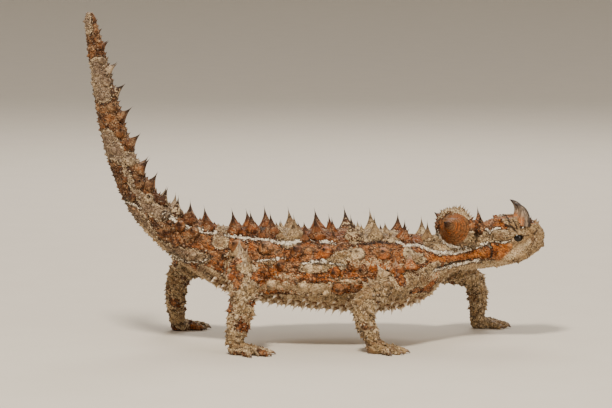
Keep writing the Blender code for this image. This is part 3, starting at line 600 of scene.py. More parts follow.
def to_strokes(across, down, drawn):
    """Signed distance, in steps, to the nearest of some tapering strokes."""
    best = np.full(len(across), 1e3)
    for x1, y1, r1, x2, y2, r2 in drawn:
        dx, dy = x2 - x1, y2 - y1
        t = np.clip(((across - x1) * dx + (down - y1) * dy) / max(dx * dx + dy * dy, 1e-9), 0, 1)
        distance = np.hypot(across - x1 - t * dx, down - y1 - t * dy) - (r1 + (r2 - r1) * t)
        best = np.minimum(best, distance)
    return best


def strokes(*chains):
    """Strokes along chains of knots, each a place across, a place down and a half width."""
    return [(*a, *b) for chain in chains for a, b in zip(chain, chain[1:])]


# Grey patches on the rust of the trunk, neck and tail
GREY = strokes(
    ((289, 208, 3), (289, 226, 7), (289, 236, 12)),
    ((224, 208, 4), (224, 228, 7), (221, 241, 8)),
    ((374, 205, 6), (373, 224, 8)),
    ((352, 243, 2), (362, 237, 6), (384, 234, 8), (395, 239, 5)),
    ((326, 260, 4), (352, 254, 6)),
    ((304, 268, 5), (342, 264, 5)),
    ((300, 288, 5), (330, 289, 6)),
    ((409, 258, 5), (420, 260, 5)),
    ((403, 287, 6), (428, 273, 6), (436, 266, 4)),
    ((162, 212, 9), (174, 206, 7)),
    ((126, 168, 2), (131, 180, 3), (140, 195, 4), (150, 208, 8)),
    ((128, 206, 8), (138, 222, 9), (150, 236, 8)),
    ((160, 245, 5), (182, 253, 6), (206, 257, 5)),
    ((231, 254, 4), (228, 278, 4)),
    ((108, 138, 9), (116, 152, 9), (122, 160, 4)),
    ((128, 157, 5), (136, 158, 5)),
    ((100, 66, 9), (105, 94, 9)),
    ((86, 8, 5), (91, 32, 4)),
    ((430, 244, 7), (452, 246, 9), (474, 241, 9), (489, 238, 7)),
    ((497, 238, 6), (507, 238, 6)),
    ((506, 222, 4), (516, 222, 6), (524, 224, 6)),
    ((438, 218, 4), (446, 211, 4), (458, 210, 5), (470, 217, 4)),
)
# Rust patches on grey limbs and the lower flank
RUST = strokes(
    ((236, 262, 5), (240, 284, 5)),
    ((243, 316, 3), (242, 326, 3)),
    ((256, 276, 5), (288, 280, 6)),
    ((333, 288, 5), (350, 288, 5)),
    ((396, 274, 5), (400, 282, 5)),
    ((412, 292, 3), (430, 290, 3)),
    ((481, 229, 4), (491, 229, 4)),
    ((414, 230, 6), (427, 224, 6)),
)
# White jagged lines
WHITE = strokes(
    ((166, 213, 1), (171, 217, 1.8), (182, 224, 2.0), (192, 229, 2.0), (208, 232, 1.6), (216, 233, 0.6)),
    ((226, 235, 0.9), (239, 238, 1.6), (265, 240, 1.6), (276, 242, 1.2), (287, 244, 1.6)),
    ((287, 244, 1.6), (302, 241, 1.7), (312, 240, 1.5), (330, 243, 1.6), (337, 245, 0.8)),
    ((396, 243, 1.0), (406, 247, 1.7), (416, 246, 1.3), (426, 250, 1.5), (436, 254, 1.8)),
    ((436, 254, 1.8), (449, 255, 2.0), (463, 253, 1.8), (476, 250, 1.0), (488, 245, 1.0)),
    ((433, 272, 1.0), (449, 268, 1.3), (466, 265, 1.4), (477, 262, 1.2), (482, 264, 0.8)),
    ((438, 233, 0.8), (442, 241, 1.2), (449, 247, 1.4), (457, 250, 1.6), (466, 249, 1.2)),
    ((480, 231, 1.4), (487, 231, 1.4), (490, 235, 0.8), (494, 231, 0.9), (500, 230, 0.8)),
    ((496, 244, 0.7), (502, 245, 1.0), (510, 243, 0.8)),
    ((481, 247, 0.8), (488, 246, 1.0), (491, 249, 0.8)),
    ((523, 230, 0.9), (530, 219, 1.2), (534, 224, 0.9)),
    ((239, 264, 0.6), (263, 260, 0.9), (286, 258, 0.7)),
    ((302, 263, 0.9), (322, 261, 0.9), (345, 266, 0.5)),
    ((168, 252, 0.8), (186, 261, 1.0), (202, 262, 0.8), (212, 256, 0.6)),
    ((127, 201, 1.0), (136, 205, 1.2), (142, 208, 0.8)),
)
# Thin orange lines and patches
ORANGE = strokes(
    ((196, 228, 0.9), (216, 228, 0.9)),
    ((239, 231, 0.9), (255, 232, 1.1), (273, 233, 0.9)),
    ((330, 236, 1.0), (338, 239, 1.0)),
    ((495, 227, 1.6), (503, 226, 2.2)),
    ((494, 249, 3.5), (508, 250, 4.5), (499, 260, 4)),
    ((432, 260, 3), (460, 259, 4), (478, 257, 3), (486, 256, 5)),
    ((415, 240, 1.2), (424, 241, 1.2)),
    ((398, 281, 2.5), (402, 284, 2.5)),
    ((129, 205, 1.2), (140, 209, 1.0)),
)
# The pale rims of the lids
LIDS = strokes(
    ((511, 238, 0.1), (513, 235.2, 0.2), (518, 234.0, 0.2), (523, 235.6, 0.1)),
    ((511, 239.8, 0.1), (514, 242.0, 0.3), (519, 242.8, 0.3), (524, 240.8, 0.1)),
)
# Cream bands
CREAM = strokes(
    ((494, 269, 2.5), (503, 264, 3.5), (513, 256, 4.0), (521, 250, 3.5), (530, 244, 2.0)),
    ((302, 288, 4.5), (328, 289, 5.0)),
    ((307, 268, 2.4), (318, 269, 3.2)),
    ((250, 268, 2.0), (262, 262, 2.2), (274, 262, 3.6)),
    ((256, 290, 3.0), (275, 284, 4.2), (294, 288, 4.2)),
    ((276, 275, 1.5), (298, 277, 2.0)),
    ((345, 262, 1.6), (368, 264, 3.0), (385, 260, 2.0)),
    ((332, 278, 1.8), (356, 282, 3.2)),
    ((384, 268, 2.0), (408, 264, 2.0)),
    ((406, 290, 1.5), (424, 283, 2.5), (440, 274, 2.0)),
    ((212, 268, 1.5), (222, 282, 2.0)),
    ((436, 273, 2.5), (452, 269, 3.5), (470, 267, 3.5), (492, 268, 3.0)),
    ((437, 250, 2.2), (455, 253, 3.4), (471, 249, 2.4), (488, 241, 0.8)),
    ((244, 296, 1.5), (290, 300, 2.5), (340, 304, 3.0), (380, 304, 3.0), (430, 300, 2.5)),
    ((386, 262, 1.5), (392, 276, 2.5), (384, 290, 2.0)),
)
# Dark strokes
DARK = strokes(
    ((490, 245, 0.9), (492, 254, 1.1), (491, 263, 0.9)),
    ((495, 246, 1.0), (500, 248, 0.8)),
    ((505, 227, 1.0), (512, 229, 1.0), (517, 235, 1.0)),
    ((513, 222, 0.6), (518, 232, 0.7)),
    ((508, 217, 0.6), (509, 226, 0.5)),
    ((521, 226, 0.8), (520, 232, 0.6)),
    ((495, 217, 1.0), (504, 217, 0.9)),
    ((522, 238.6, 0.7), (529, 237.6, 0.6)),
    ((506, 240, 0.5), (510.5, 239, 0.5)),
    ((241, 225, 1.8), (246, 228, 2.0), (272, 229, 2.2), (279, 229, 1.4)),
    ((300, 228, 1.2), (330, 229, 1.4)),
    ((356, 246, 0.8), (378, 243, 0.9), (392, 245, 0.7)),
    ((300, 276, 0.7), (345, 279, 0.8), (372, 277, 0.6)),
    ((437, 269, 1.2), (455, 264, 1.0), (470, 261, 0.8)),
)
# Oval bosses: place across, place down, half width, half height
BOSSES = (
    (271, 249, 9.5, 5.5),
    (307, 249, 13.5, 6.0),
    (344, 252, 9.5, 5.0),
    (378, 253, 8.0, 5.0),
    (414, 259, 7.5, 5.5),
    (241, 247, 8.0, 5.5),
    (190, 235, 8.0, 6.5),
    (173, 228, 5.0, 5.0),
    (270, 261, 6.5, 4.0),
    (287, 267, 8.0, 5.5),
    (318, 269, 9.5, 5.0),
    (355, 267, 8.5, 5.0),
    (255, 277, 7.0, 5.0),
    (290, 284, 8.0, 4.5),
    (316, 288, 9.0, 5.0),
    (342, 288, 8.5, 5.0),
    (420, 275, 7.0, 5.0),
    (486, 254, 6.0, 7.0),
    (502, 239, 10.5, 6.5),
    (455, 232, 15.5, 15.0),
)


# Distance in steps that stands for no mark near, and share that stands for no boss or cone near
NO_MARK = 20.0
NO_BOSS = 9.0
# How much thinner the white lines are than drawn, in steps
LINE_THINNED = 0.35
# Degrees from the spine at which the cream belly starts
BELLY_ANGLE = 148
# Where the tail's and the head's colours fade in, by x, and the crest's, by degrees from the spine
TAIL_FADE = (-0.020, -0.050)
HEAD_FADE = (0.048, 0.062)
CREST_FADE = (50.0, 38.0)
# Places across at which the tail, the trunk, the belly and the knob start
TAIL_ACROSS = 90
BELLY_ACROSS = 140
TRUNK_ACROSS = 150
KNOB_ACROSS = 440
# The snout lies past this place across and below this place down
SNOUT_CORNER = (508, 226)
# Where rust gives way to the grey of the underside: place across, place down
BELLY_EDGE = ((100, 400), (150, 400), (200, 262), (260, 294), (430, 294), (445, 264), (480, 262))
# The rusty crown between the eyes
CROWN_BACK_X = 0.0500
CROWN_FRONT_X = 0.0605
CROWN_BREADTH = 0.0040


def to_bosses(across, down):
    """Distance from the middle of the nearest boss, 1 at its rim."""
    best = np.full(len(across), NO_BOSS)
    for x, y, wide, high in BOSSES:
        best = np.minimum(best, np.hypot((across - x) / wide, (down - y) / high))
    return best


def unwrap(found, which):
    """A place in the unit square for each point, the body low in it and a strip for each limb."""
    places = np.empty((len(which), 2))
    for number, (tube, (along, angles, _)) in enumerate(zip(TUBES, found)):
        chosen = which == number
        start, breadth = (0.64 + 0.085 * (number - 1), 0.075) if number else (0.02, 0.60)
        u = 0.02 + 0.96 * (along[chosen] / tube.length)
        v = start + breadth * ((angles[chosen] % 360) / 360)
        places[chosen] = np.column_stack([u, v])
    return places


def limb_blotches(points):
    """Distances like a patch's that set rust blotches on the limbs, more on the hind ones."""
    x, y, z = points.T
    waves = np.sin(z * 850 + 1.2) + np.sin(x * 700 + z * 600) + 0.8 * np.sin(y * 900 - z * 400)
    return 1.9 * waves - np.where(x < 0.0, 1.9, 4.4)


def patches(points, across, down, on_body):
    """Distance into rust at each point, below 0 in grey."""
    grey = np.minimum(to_strokes(across, down, GREY), 30.0)
    patch = np.where(on_body, grey, limb_blotches(points))
    edge = np.interp(across, *zip(*BELLY_EDGE))
    trunk = on_body & (across > TRUNK_ACROSS)
    patch = np.where(trunk, np.minimum(patch, edge - down), patch)
    snout = on_body & (across > SNOUT_CORNER[0]) & (down > SNOUT_CORNER[1])
    patch = np.where(snout, np.minimum(patch, -3.0), patch)
    inside = CROWN_BREADTH - np.abs(points[:, 1])
    crown = on_body & (inside > 0) & (points[:, 0] > CROWN_BACK_X) & (points[:, 0] < CROWN_FRONT_X)
    patch = np.where(crown, np.maximum(patch, inside * 2500), patch)
    return np.maximum(patch, -to_strokes(across, down, RUST))


def cream_marks(across, down, on_body, spine):
    """Distance from the cream bands, the belly and the thin line along the spine."""
    bands = np.where(on_body, to_strokes(across, down, CREAM + LIDS), NO_MARK)
    belly = np.where(on_body & (across > BELLY_ACROSS), BELLY_ANGLE - spine, 2 * NO_MARK)
    backed = on_body & (across < KNOB_ACROSS) & (across > TAIL_ACROSS)
    middle = np.where(backed, spine * 0.9 - 0.2, NO_MARK)
    return np.minimum(np.minimum(bands, belly * 0.5), middle)


def markings(points):
    """Everything that skin and scales need to know about their colours, by place."""
    found = [tube.locate(points) for tube in TUBES]
    which = np.argmin(np.array([outside for _, _, outside in found]), axis=0)
    on_body = which == 0
    spine = from_spine(found[0][1])
    across, down = side_view(points)
    trunk = on_body & (across > TRUNK_ACROSS) & (across < KNOB_ACROSS)
    return {
        "patch": patches(points, across, down, on_body),
        "line": np.where(on_body, to_strokes(across, down, WHITE) + LINE_THINNED, NO_MARK),
        "orange": np.where(on_body, to_strokes(across, down, ORANGE), NO_MARK),
        "cream": cream_marks(across, down, on_body, spine),
        "dark": np.where(on_body, to_strokes(across, down, DARK), NO_MARK),
        "boss": np.where(on_body, to_bosses(across, down), NO_BOSS),
        "disc": disc_share(points),
        "tail": np.where(on_body, smoothed(*TAIL_FADE, points[:, 0]), 0.0),
        "head": np.where(on_body, smoothed(*HEAD_FADE, points[:, 0]), 0.0),
        "crest": np.where(trunk, smoothed(*CREST_FADE, spine), 0.0),
        "limb": np.where(on_body, 0.0, 1.0),
        "unwrap": unwrap(found, which),
    }


def disc_share(points):
    """Distance from the axis of the nearer cone of the knob, 1 at its rim."""
    best = np.full(len(points), NO_BOSS)
    for side in (-1, 1):
        root = np.array(mirrored(KNOB_CONE_ROOT, side))
        tip = np.array(mirrored(KNOB_CONE_TIP, side))
        axis = (tip - root) / np.linalg.norm(tip - root)
        offset = points - root
        along = offset @ axis
        across = np.linalg.norm(offset - along[:, None] * axis, axis=1) / KNOB_CONE_RADIUS
        best = np.where((along > 0.0) & (across < 1.15), across, best)
    return best


# No scales stand within this reach of an eye's centre
BARE_ROUND_EYE = 0.0036
# Pointed scales fade in between these heights
POINTED_FADE = (0.0240, 0.0150)


def scale_cover(points, marks):
    """How thickly low scales and pointed scales stand at each point."""
    low = 1 - 0.6 * marks["head"] - 0.4 * marks["limb"]
    low = np.where(marks["disc"] < 1.1, 0.0, low)
    folded = np.column_stack([points[:, 0], np.abs(points[:, 1]), points[:, 2]])
    reach = np.linalg.norm(folded - np.array(EYE_CENTRE), axis=1)
    low = np.where(reach < BARE_ROUND_EYE, 0.0, low)
    pointed = np.maximum(smoothed(*POINTED_FADE, points[:, 2]), 0.6 * marks["tail"])
    return low, pointed * (1 - marks["head"]) * low


# Where the trunk's relief fades out: distance off a limb, x behind, x in front, distance off the tube
OFF_LIMB_FADE = (0.0, 0.0012)
BACK_FADE = (-0.060, -0.040)
FRONT_FADE = (0.0585, 0.0560)
OFF_TUBE_FADE = (0.0016, 0.0006)
# Bosses, and the groove round them
BOSS_HEIGHT = 0.00075
BOSS_RIM_DEPTH = 0.00028
# Lengthwise creases: degrees from the spine, and depth
CREASES = ((34, 0.00030), (62, 0.00022), (84, 0.00030), (107, 0.00030), (131, 0.00022))
CREASE_BREADTH = 2.6
# The mouth line: depth, breadth, the x behind which there is none, and how flat it lies
MOUTH_DEPTH = 0.00055
MOUTH_BREADTH = 0.00022
MOUTH_BACK_X = 0.052
MOUTH_FLATNESS = 0.35
# An eye socket's radius as a share of the eye's, and the skin's least height over the floor
SOCKET_SHARE = 0.97
LOWEST_SKIN = 0.00002


def relief(points):
    """How far the trunk stands out at each point, for bosses and lengthwise creases."""
    _, angles, outside = BODY_TUBE.locate(points)
    limbs = [tube.locate(points)[2] for tube in TUBES[1:]]
    on_trunk = smoothed(*OFF_LIMB_FADE, np.min(limbs, axis=0) - outside)
    on_trunk *= smoothed(*BACK_FADE, points[:, 0]) * smoothed(*FRONT_FADE, points[:, 0])
    on_trunk *= smoothed(*OFF_TUBE_FADE, outside)
    boss = to_bosses(*side_view(points))
    dome = BOSS_HEIGHT * smoothed(1.05, 0.0, boss)
    rim = -BOSS_RIM_DEPTH * np.exp(-(((boss - 1.08) / 0.16) ** 2))
    creases = np.zeros(len(points))
    for angle, depth in CREASES:
        creases -= depth * np.exp(-(((from_spine(angles) - angle) / CREASE_BREADTH) ** 2))
    return on_trunk * (dome + rim + creases)


def mouth_depth(points):
    """How far the mouth line sinks at each point."""
    path = np.array([tuple(p) for p in MOUTH])
    best = np.full(len(points), 1.0)
    near = points[:, 0] > MOUTH_BACK_X
    chosen = points[near]
    nearest = np.full(len(chosen), 1.0)
    for a, b in zip(path, path[1:]):
        t = np.clip((chosen - a) @ (b - a) / ((b - a) @ (b - a)), 0, 1)
        offset = chosen - a - t[:, None] * (b - a)
        flat = np.hypot(np.linalg.norm(offset[:, :2], axis=1) * MOUTH_FLATNESS, offset[:, 2])
        nearest = np.minimum(nearest, flat)
    best[near] = nearest
    return -MOUTH_DEPTH * np.exp(-((best / MOUTH_BREADTH) ** 2))


def carve(mesh):
    """Raises bosses and sinks creases, the mouth line and the eye sockets."""
    points, normals = of_vertices(mesh, "co"), of_vertices(mesh, "normal")
    points += normals * (relief(points) + mouth_depth(points))[:, None]
    for side in (-1, 1):
        eye = np.array(mirrored(EYE_CENTRE, side))
        away = points - eye
        reach = np.linalg.norm(away, axis=1)
        inside = reach < EYE_RADIUS * SOCKET_SHARE
        points[inside] = eye + away[inside] / reach[inside, None] * EYE_RADIUS * SOCKET_SHARE
    points[:, 2] = np.maximum(points[:, 2], LOWEST_SKIN)
    set_coordinates(mesh, points)


def thin_out(obj):
    """Brings the skin under its count of triangles, least on the head."""
    points = of_vertices(obj.data, "co")
    group = obj.vertex_groups.new(name="thin")
    on_head = smoothed(*SPARED_X, points[:, 0]) * smoothed(*SPARED_Z, points[:, 2])
    levels = np.round((1 - HEAD_SPARED * on_head) * SPARED_STEPS).astype(int)
    for level in np.unique(levels):
        members = np.nonzero(levels == level)[0].tolist()
        group.add(members, level / SPARED_STEPS, "REPLACE")
    count = sum(len(p.vertices) - 2 for p in obj.data.polygons)
    decimate = obj.modifiers.new("thin", "DECIMATE")
    decimate.ratio = SKIN_TRIANGLES / count
    decimate.vertex_group = "thin"
    decimate.vertex_group_factor = 1.0
    return settled(obj, "skin")


def build_skin():
    obj = rough_skin()
    carve(obj.data)
    obj = thin_out(obj)
    obj.vertex_groups.clear()
    obj.data.shade_smooth()
    points = of_vertices(obj.data, "co")
    marks = markings(points)
    for name, values in marks.items():
        store(obj.data, name, values)
    low, pointed = scale_cover(points, marks)
    store(obj.data, "low_cover", low)
    store(obj.data, "pointed_cover", pointed)
    return obj


def add(tree, kind, inputs=None, **settings):
    """A node with its settings, whose inputs are values or other nodes' outputs."""
    node = tree.nodes.new(kind)
    for key, value in settings.items():
        setattr(node, key, value)
    for key, value in (inputs or {}).items():
        socket = node.inputs[key]
        if isinstance(value, bpy.types.NodeSocket):
            tree.links.new(value, socket)
        else:
            socket.default_value = value
    return node


def maths(tree, operation, *values, clamp=False):
    node = add(tree, "ShaderNodeMath", dict(enumerate(values)), operation=operation, use_clamp=clamp)
    return node.outputs[0]


def product(tree, *values):
    """All the values multiplied together."""
    result = values[0]
    for value in values[1:]:
        result = maths(tree, "MULTIPLY", result, value)
    return result


def frayed(tree, distance, jitter, reach):
    """A mark's distance with its edge broken up scale by scale."""
    return maths(tree, "MULTIPLY_ADD", jitter, reach, distance)


def blend(tree, share, first, second):
    """Colour between two others by a share, which may be an output or a number."""
    return add(tree, "ShaderNodeMix", {0: share, 6: first, 7: second}, data_type="RGBA").outputs[2]


def ramp(tree, value, low, high):
    """A smooth rise from 0 at low to 1 at high."""
    span = {"Value": value, "From Min": low, "From Max": high}
    return add(tree, "ShaderNodeMapRange", span, interpolation_type="SMOOTHSTEP").outputs["Result"]


def noise(tree, place, scale, detail, **others):
    """A noise texture's node, with so many features to a metre."""
    inputs = {"Vector": place, "Scale": scale, "Detail": detail, **others}
    return add(tree, "ShaderNodeTexNoise", inputs)


def cells(tree, place, scale, feature="F1"):
    """A cell texture's node, with so many cells to a metre."""
    return add(tree, "ShaderNodeTexVoronoi", {"Vector": place, "Scale": scale}, feature=feature)


def object_place(tree):
    return add(tree, "ShaderNodeTexCoord").outputs["Object"]


def attribute(tree, name):
    """A number that the piece stores at its points."""
    return add(tree, "ShaderNodeAttribute", attribute_name=name).outputs["Fac"]


# Names of the numbers that a piece stores for its colours, and of those that its scales vary
MARK_NAMES = ("patch", "line", "orange", "cream", "dark", "boss", "disc", "crest", "tail", "head")
SCALE_NAMES = ("Gap", "Shade", "Mottle", "Jitter", "Plate", "Seam", "Fleck")
# Scales to a metre on the skin and on thorns, and plates to a metre
SKIN_SCALES = 1700.0
THORN_SCALES = 2300.0
PLATES = 300.0


def with_ends(tree):
    """A node group's tree, with the sockets that it starts from and ends in."""
    start, end = tree.nodes.new("NodeGroupInput"), tree.nodes.new("NodeGroupOutput")
    return tree, start.outputs, end.inputs


def new_group(name, ins, outs):
    tree = bpy.data.node_groups.new(name, "ShaderNodeTree")
    kinds = {"value": "NodeSocketFloat", "colour": "NodeSocketColor", "vector": "NodeSocketVector"}
    for label, kind in ins:
        tree.interface.new_socket(label, in_out="INPUT", socket_type=kinds[kind])
    for label, kind in outs:
        tree.interface.new_socket(label, in_out="OUTPUT", socket_type=kinds[kind])
    return with_ends(tree)


def shifted(tree, place, node, reach):
    """A place moved by a noise node's colour times a reach."""
    moved = {0: node.outputs["Color"], 1: (reach,) * 3, 2: place}
    return add(tree, "ShaderNodeVectorMath", moved, operation="MULTIPLY_ADD").outputs[0]


def grey_of(tree, node):
    """A number for each cell of a cell texture."""
    return add(tree, "ShaderNodeRGBToBW", {0: node.outputs["Color"]}).outputs[0]


def pebble_scales(tree, place, to_metre):
    """Height of the small scales, painted shade in the gaps between them, and their shade and jitter."""
    bends = noise(tree, place, 900.0, 2.0)
    moved = shifted(tree, place, bends, 0.0006)
    pebbles = cells(tree, moved, to_metre)
    edges = cells(tree, moved, to_metre, "DISTANCE_TO_EDGE").outputs["Distance"]
    fine = noise(tree, place, 3800.0, 4.0, Roughness=0.65).outputs[0]
    dome = maths(tree, "SUBTRACT", 1.0, pebbles.outputs["Distance"])
    grey = grey_of(tree, pebbles)
    return {
        "Height": maths(tree, "MULTIPLY_ADD", fine, 0.35, dome),
        # Painted shade: the gap between scales, which is later darkened towards black
        "Gap": maths(tree, "SUBTRACT", 1.0, ramp(tree, edges, 0.0, 0.16)),
        "Shade": grey,
        "Jitter": maths(tree, "SUBTRACT", maths(tree, "ADD", grey, bends.outputs[0]), 1.0),
    }


def broad_plates(tree, place):
    """Bulge, shade and seam of the plates, which are drawn out along the body."""
    drifted = shifted(tree, place, noise(tree, place, 380.0, 3.0, Roughness=0.7), 0.0034)
    squeezed = {"Vector": drifted, "Scale": (0.62, 1.0, 1.0)}
    drawn_out = add(tree, "ShaderNodeMapping", squeezed).outputs[0]
    seam = cells(tree, drawn_out, PLATES, "DISTANCE_TO_EDGE").outputs["Distance"]
    bulge = product(tree, ramp(tree, seam, 0.0, 0.20), 1.1)
    return bulge, {"Plate": grey_of(tree, cells(tree, drawn_out, PLATES)), "Seam": seam}


def scale_group():
    """Pebbled scales and the broad plates they gather in, as heights, painted shade in the gaps, and shades.
    """
    ins = (("Place", "vector"), ("Scales to a metre", "value"))
    outs = [(name, "value") for name in ("Height", *SCALE_NAMES)]
    tree, given, out = new_group("pebbled scales", ins, outs)
    place = given["Place"]
    made = pebble_scales(tree, place, given[1])
    bulge, plates = broad_plates(tree, place)
    made.update(plates)
    made["Height"] = maths(tree, "ADD", made["Height"], bulge)
    mottle = noise(tree, place, 420.0, 4.0, Roughness=0.65).outputs[0]
    made["Mottle"] = ramp(tree, mottle, 0.36, 0.64)
    made["Fleck"] = ramp(tree, noise(tree, place, 1700.0, 2.0).outputs[0], 0.60, 0.70)
    for name, value in made.items():
        tree.links.new(value, out[name])
    return tree


# Colours of the hide
RUST_DEEP = (0.100, 0.025, 0.004, 1)
RUST_MID = (0.375, 0.094, 0.012, 1)
RUST_BRIGHT = (0.550, 0.170, 0.025, 1)
BROWN = (0.230, 0.115, 0.045, 1)
GREY_DEEP = (0.150, 0.096, 0.054, 1)
GREY_MID = (0.405, 0.255, 0.132, 1)
GREY_LIGHT = (0.660, 0.450, 0.250, 1)
TAIL_GREY = (0.215, 0.155, 0.115, 1)
OLIVE = (0.370, 0.265, 0.100, 1)
CREAM_COLOUR = (0.830, 0.625, 0.380, 1)
WHITE_COLOUR = (0.900, 0.780, 0.610, 1)
ORANGE_COLOUR = (0.650, 0.225, 0.030, 1)
BLACK = (0.020, 0.010, 0.006, 1)
KNOB_BROWN = (0.150, 0.058, 0.016, 1)
HORN_DARK = (0.075, 0.050, 0.034, 1)
HORN_GREY = (0.330, 0.235, 0.155, 1)
EYE_BLACK = (0.006, 0.004, 0.003, 1)
EYE_BROWN = (0.160, 0.070, 0.020, 1)
CLAW_DARK = (0.050, 0.030, 0.020, 1)
FLOOR_DARK = (0.60, 0.54, 0.46, 1)
FLOOR_PALE = (0.64, 0.58, 0.50, 1)


def rust_colour(tree, given):
    """Rust with brown plates, darker along the crest and near black on the tail."""
    mottle = given["Mottle"]
    rust = blend(tree, mottle, RUST_DEEP, RUST_MID)
    rust = blend(tree, ramp(tree, given["Shade"], 0.45, 0.95), rust, RUST_BRIGHT)
    browned = product(tree, ramp(tree, given["Plate"], 0.50, 0.75), 0.34)
    rust = blend(tree, browned, rust, blend(tree, mottle, BROWN, GREY_MID))
    darker = product(tree, given["tail"], 0.72)
    rust = blend(tree, darker, rust, blend(tree, mottle, BLACK, BROWN))
    return blend(tree, product(tree, given["crest"], 0.55), rust, RUST_DEEP)


def grey_colour(tree, given):
    """Grey brown with brown plates, olive in places, duller on the tail, warmer on the head."""
    mottle = given["Mottle"]
    grey = blend(tree, mottle, GREY_DEEP, GREY_MID)
    grey = blend(tree, ramp(tree, given["Shade"], 0.40, 0.95), grey, GREY_LIGHT)
    browned = product(tree, ramp(tree, given["Plate"], 0.55, 0.35), 0.60)
    grey = blend(tree, browned, grey, BROWN)
    olive = maths(tree, "MULTIPLY", maths(tree, "SUBTRACT", 0.35, given["tail"]), mottle, clamp=True)
    grey = blend(tree, olive, grey, OLIVE)
    grey = blend(tree, product(tree, given["tail"], 0.60), grey, TAIL_GREY)
    return blend(tree, product(tree, given["head"], mottle, 0.25), grey, BROWN)


def with_bosses(tree, given, colour):
    """Bosses get a dark rim and a browner middle."""
    boss = given["boss"]
    off_rim = maths(tree, "ABSOLUTE", maths(tree, "SUBTRACT", boss, 0.94))
    rim = ramp(tree, maths(tree, "SUBTRACT", 1.0, off_rim), 0.80, 1.0)
    colour = blend(tree, product(tree, rim, 0.55), colour, BLACK)
    middle = product(tree, ramp(tree, boss, 0.75, 0.35), 0.45)
    return blend(tree, middle, colour, blend(tree, given["Mottle"], BROWN, GREY_MID))


def with_plates(tree, given, jitter, colour):
    """Plates get pale flecks, a cream rim along each seam that is partly their own pale edge and partly a
    painted highlight, and painted shade darkening the seams.
    """
    seam = frayed(tree, given["Seam"], jitter, 0.06)
    # Pale rim inside each seam: partly the plates' own pale edge, partly a painted highlight on the raised
    # plate edge
    rim = product(tree, ramp(tree, seam, 0.02, 0.05), ramp(tree, seam, 0.16, 0.08))
    rim = product(tree, rim, ramp(tree, given["Mottle"], 0.35, 0.75), 0.24)
    colour = blend(tree, rim, colour, CREAM_COLOUR)
    # Painted shade: the seams between plates are darkened, less on the tail
    depth = maths(tree, "MULTIPLY_ADD", given["tail"], -0.45, 0.75)
    colour = blend(tree, product(tree, ramp(tree, seam, 0.055, 0.0), depth), colour, BLACK)
    return blend(tree, product(tree, given["Fleck"], 0.24), colour, CREAM_COLOUR)


def with_patch_edges(tree, patch, colour):
    """A pale rim on a patch's grey side, and painted shade as a dark rim on its rust side."""
    pale = product(tree, ramp(tree, patch, -2.6, -0.6), ramp(tree, patch, 0.25, -0.25), 0.55)
    colour = blend(tree, pale, colour, CREAM_COLOUR)
    # Painted shade: a dark line just inside the rust side of each patch's edge
    dark = product(tree, ramp(tree, patch, -0.25, 0.25), ramp(tree, patch, 2.2, 0.8), 0.75)
    return blend(tree, dark, colour, BLACK)


def with_bands(tree, given, jitter, colour):
    """Cream bands and orange bands."""
    mottle = given["Mottle"]
    cream = frayed(tree, given["cream"], jitter, 7.0)
    share = product(tree, ramp(tree, cream, 0.9, -1.2), 0.80)
    colour = blend(tree, share, colour, blend(tree, mottle, GREY_LIGHT, CREAM_COLOUR))
    orange = frayed(tree, given["orange"], jitter, 4.0)
    share = product(tree, ramp(tree, orange, 1.2, -2.4), 0.62)
    return blend(tree, share, colour, blend(tree, mottle, RUST_MID, ORANGE_COLOUR))


def with_lines(tree, given, jitter, colour):
    """White lines with dark edges, and dark strokes."""
    line = frayed(tree, given["line"], jitter, 2.2)
    under = product(tree, ramp(tree, line, 2.2, 0.9), ramp(tree, line, -0.1, 0.5), 0.8)
    colour = blend(tree, under, colour, BLACK)
    colour = blend(tree, ramp(tree, line, 0.3, -0.1), colour, WHITE_COLOUR)
    dark = frayed(tree, given["dark"], jitter, 1.6)
    return blend(tree, product(tree, ramp(tree, dark, 0.5, -0.3), 0.85), colour, BLACK)


def with_knob_face(tree, given, colour):
    """The knob's cones are brown, with fine rings round a dark apex."""
    disc, mottle = given["disc"], given["Mottle"]
    wave = product(tree, maths(tree, "MULTIPLY_ADD", mottle, 0.05, disc), 58.0)
    wave = maths(tree, "MULTIPLY_ADD", maths(tree, "SINE", wave), 0.5, 0.5)
    face = blend(tree, wave, KNOB_BROWN, blend(tree, mottle, BROWN, RUST_MID))
    face = blend(tree, ramp(tree, disc, 0.30, 0.05), face, BLACK)
    return blend(tree, ramp(tree, disc, 1.0, 0.90), colour, face)


def marking_group():
    """The colours of the hide from the marks' distances and the scales' own variation."""
    ins = [(name, "value") for name in MARK_NAMES + SCALE_NAMES]
    tree, given, out = new_group("hide markings", ins, (("Colour", "colour"),))
    calm = maths(tree, "SUBTRACT", 1.0, product(tree, given["head"], 0.65))
    jitter = product(tree, given["Jitter"], calm)
    patch = frayed(tree, given["patch"], jitter, 2.6)
    patch = frayed(tree, patch, maths(tree, "SUBTRACT", given["Plate"], 0.5), 1.6)
    share = ramp(tree, patch, -0.3, 0.3)
    colour = blend(tree, share, grey_colour(tree, given), rust_colour(tree, given))
    colour = with_bosses(tree, given, colour)
    colour = with_plates(tree, given, jitter, colour)
    colour = with_patch_edges(tree, patch, colour)
    colour = with_bands(tree, given, jitter, colour)
    colour = with_lines(tree, given, jitter, colour)
    colour = with_knob_face(tree, given, colour)
    # Painted shade: the gaps between the small scales are darkened towards black
    colour = blend(tree, product(tree, given["Gap"], 0.55), colour, BLACK)
    tree.links.new(colour, out["Colour"])
    return tree


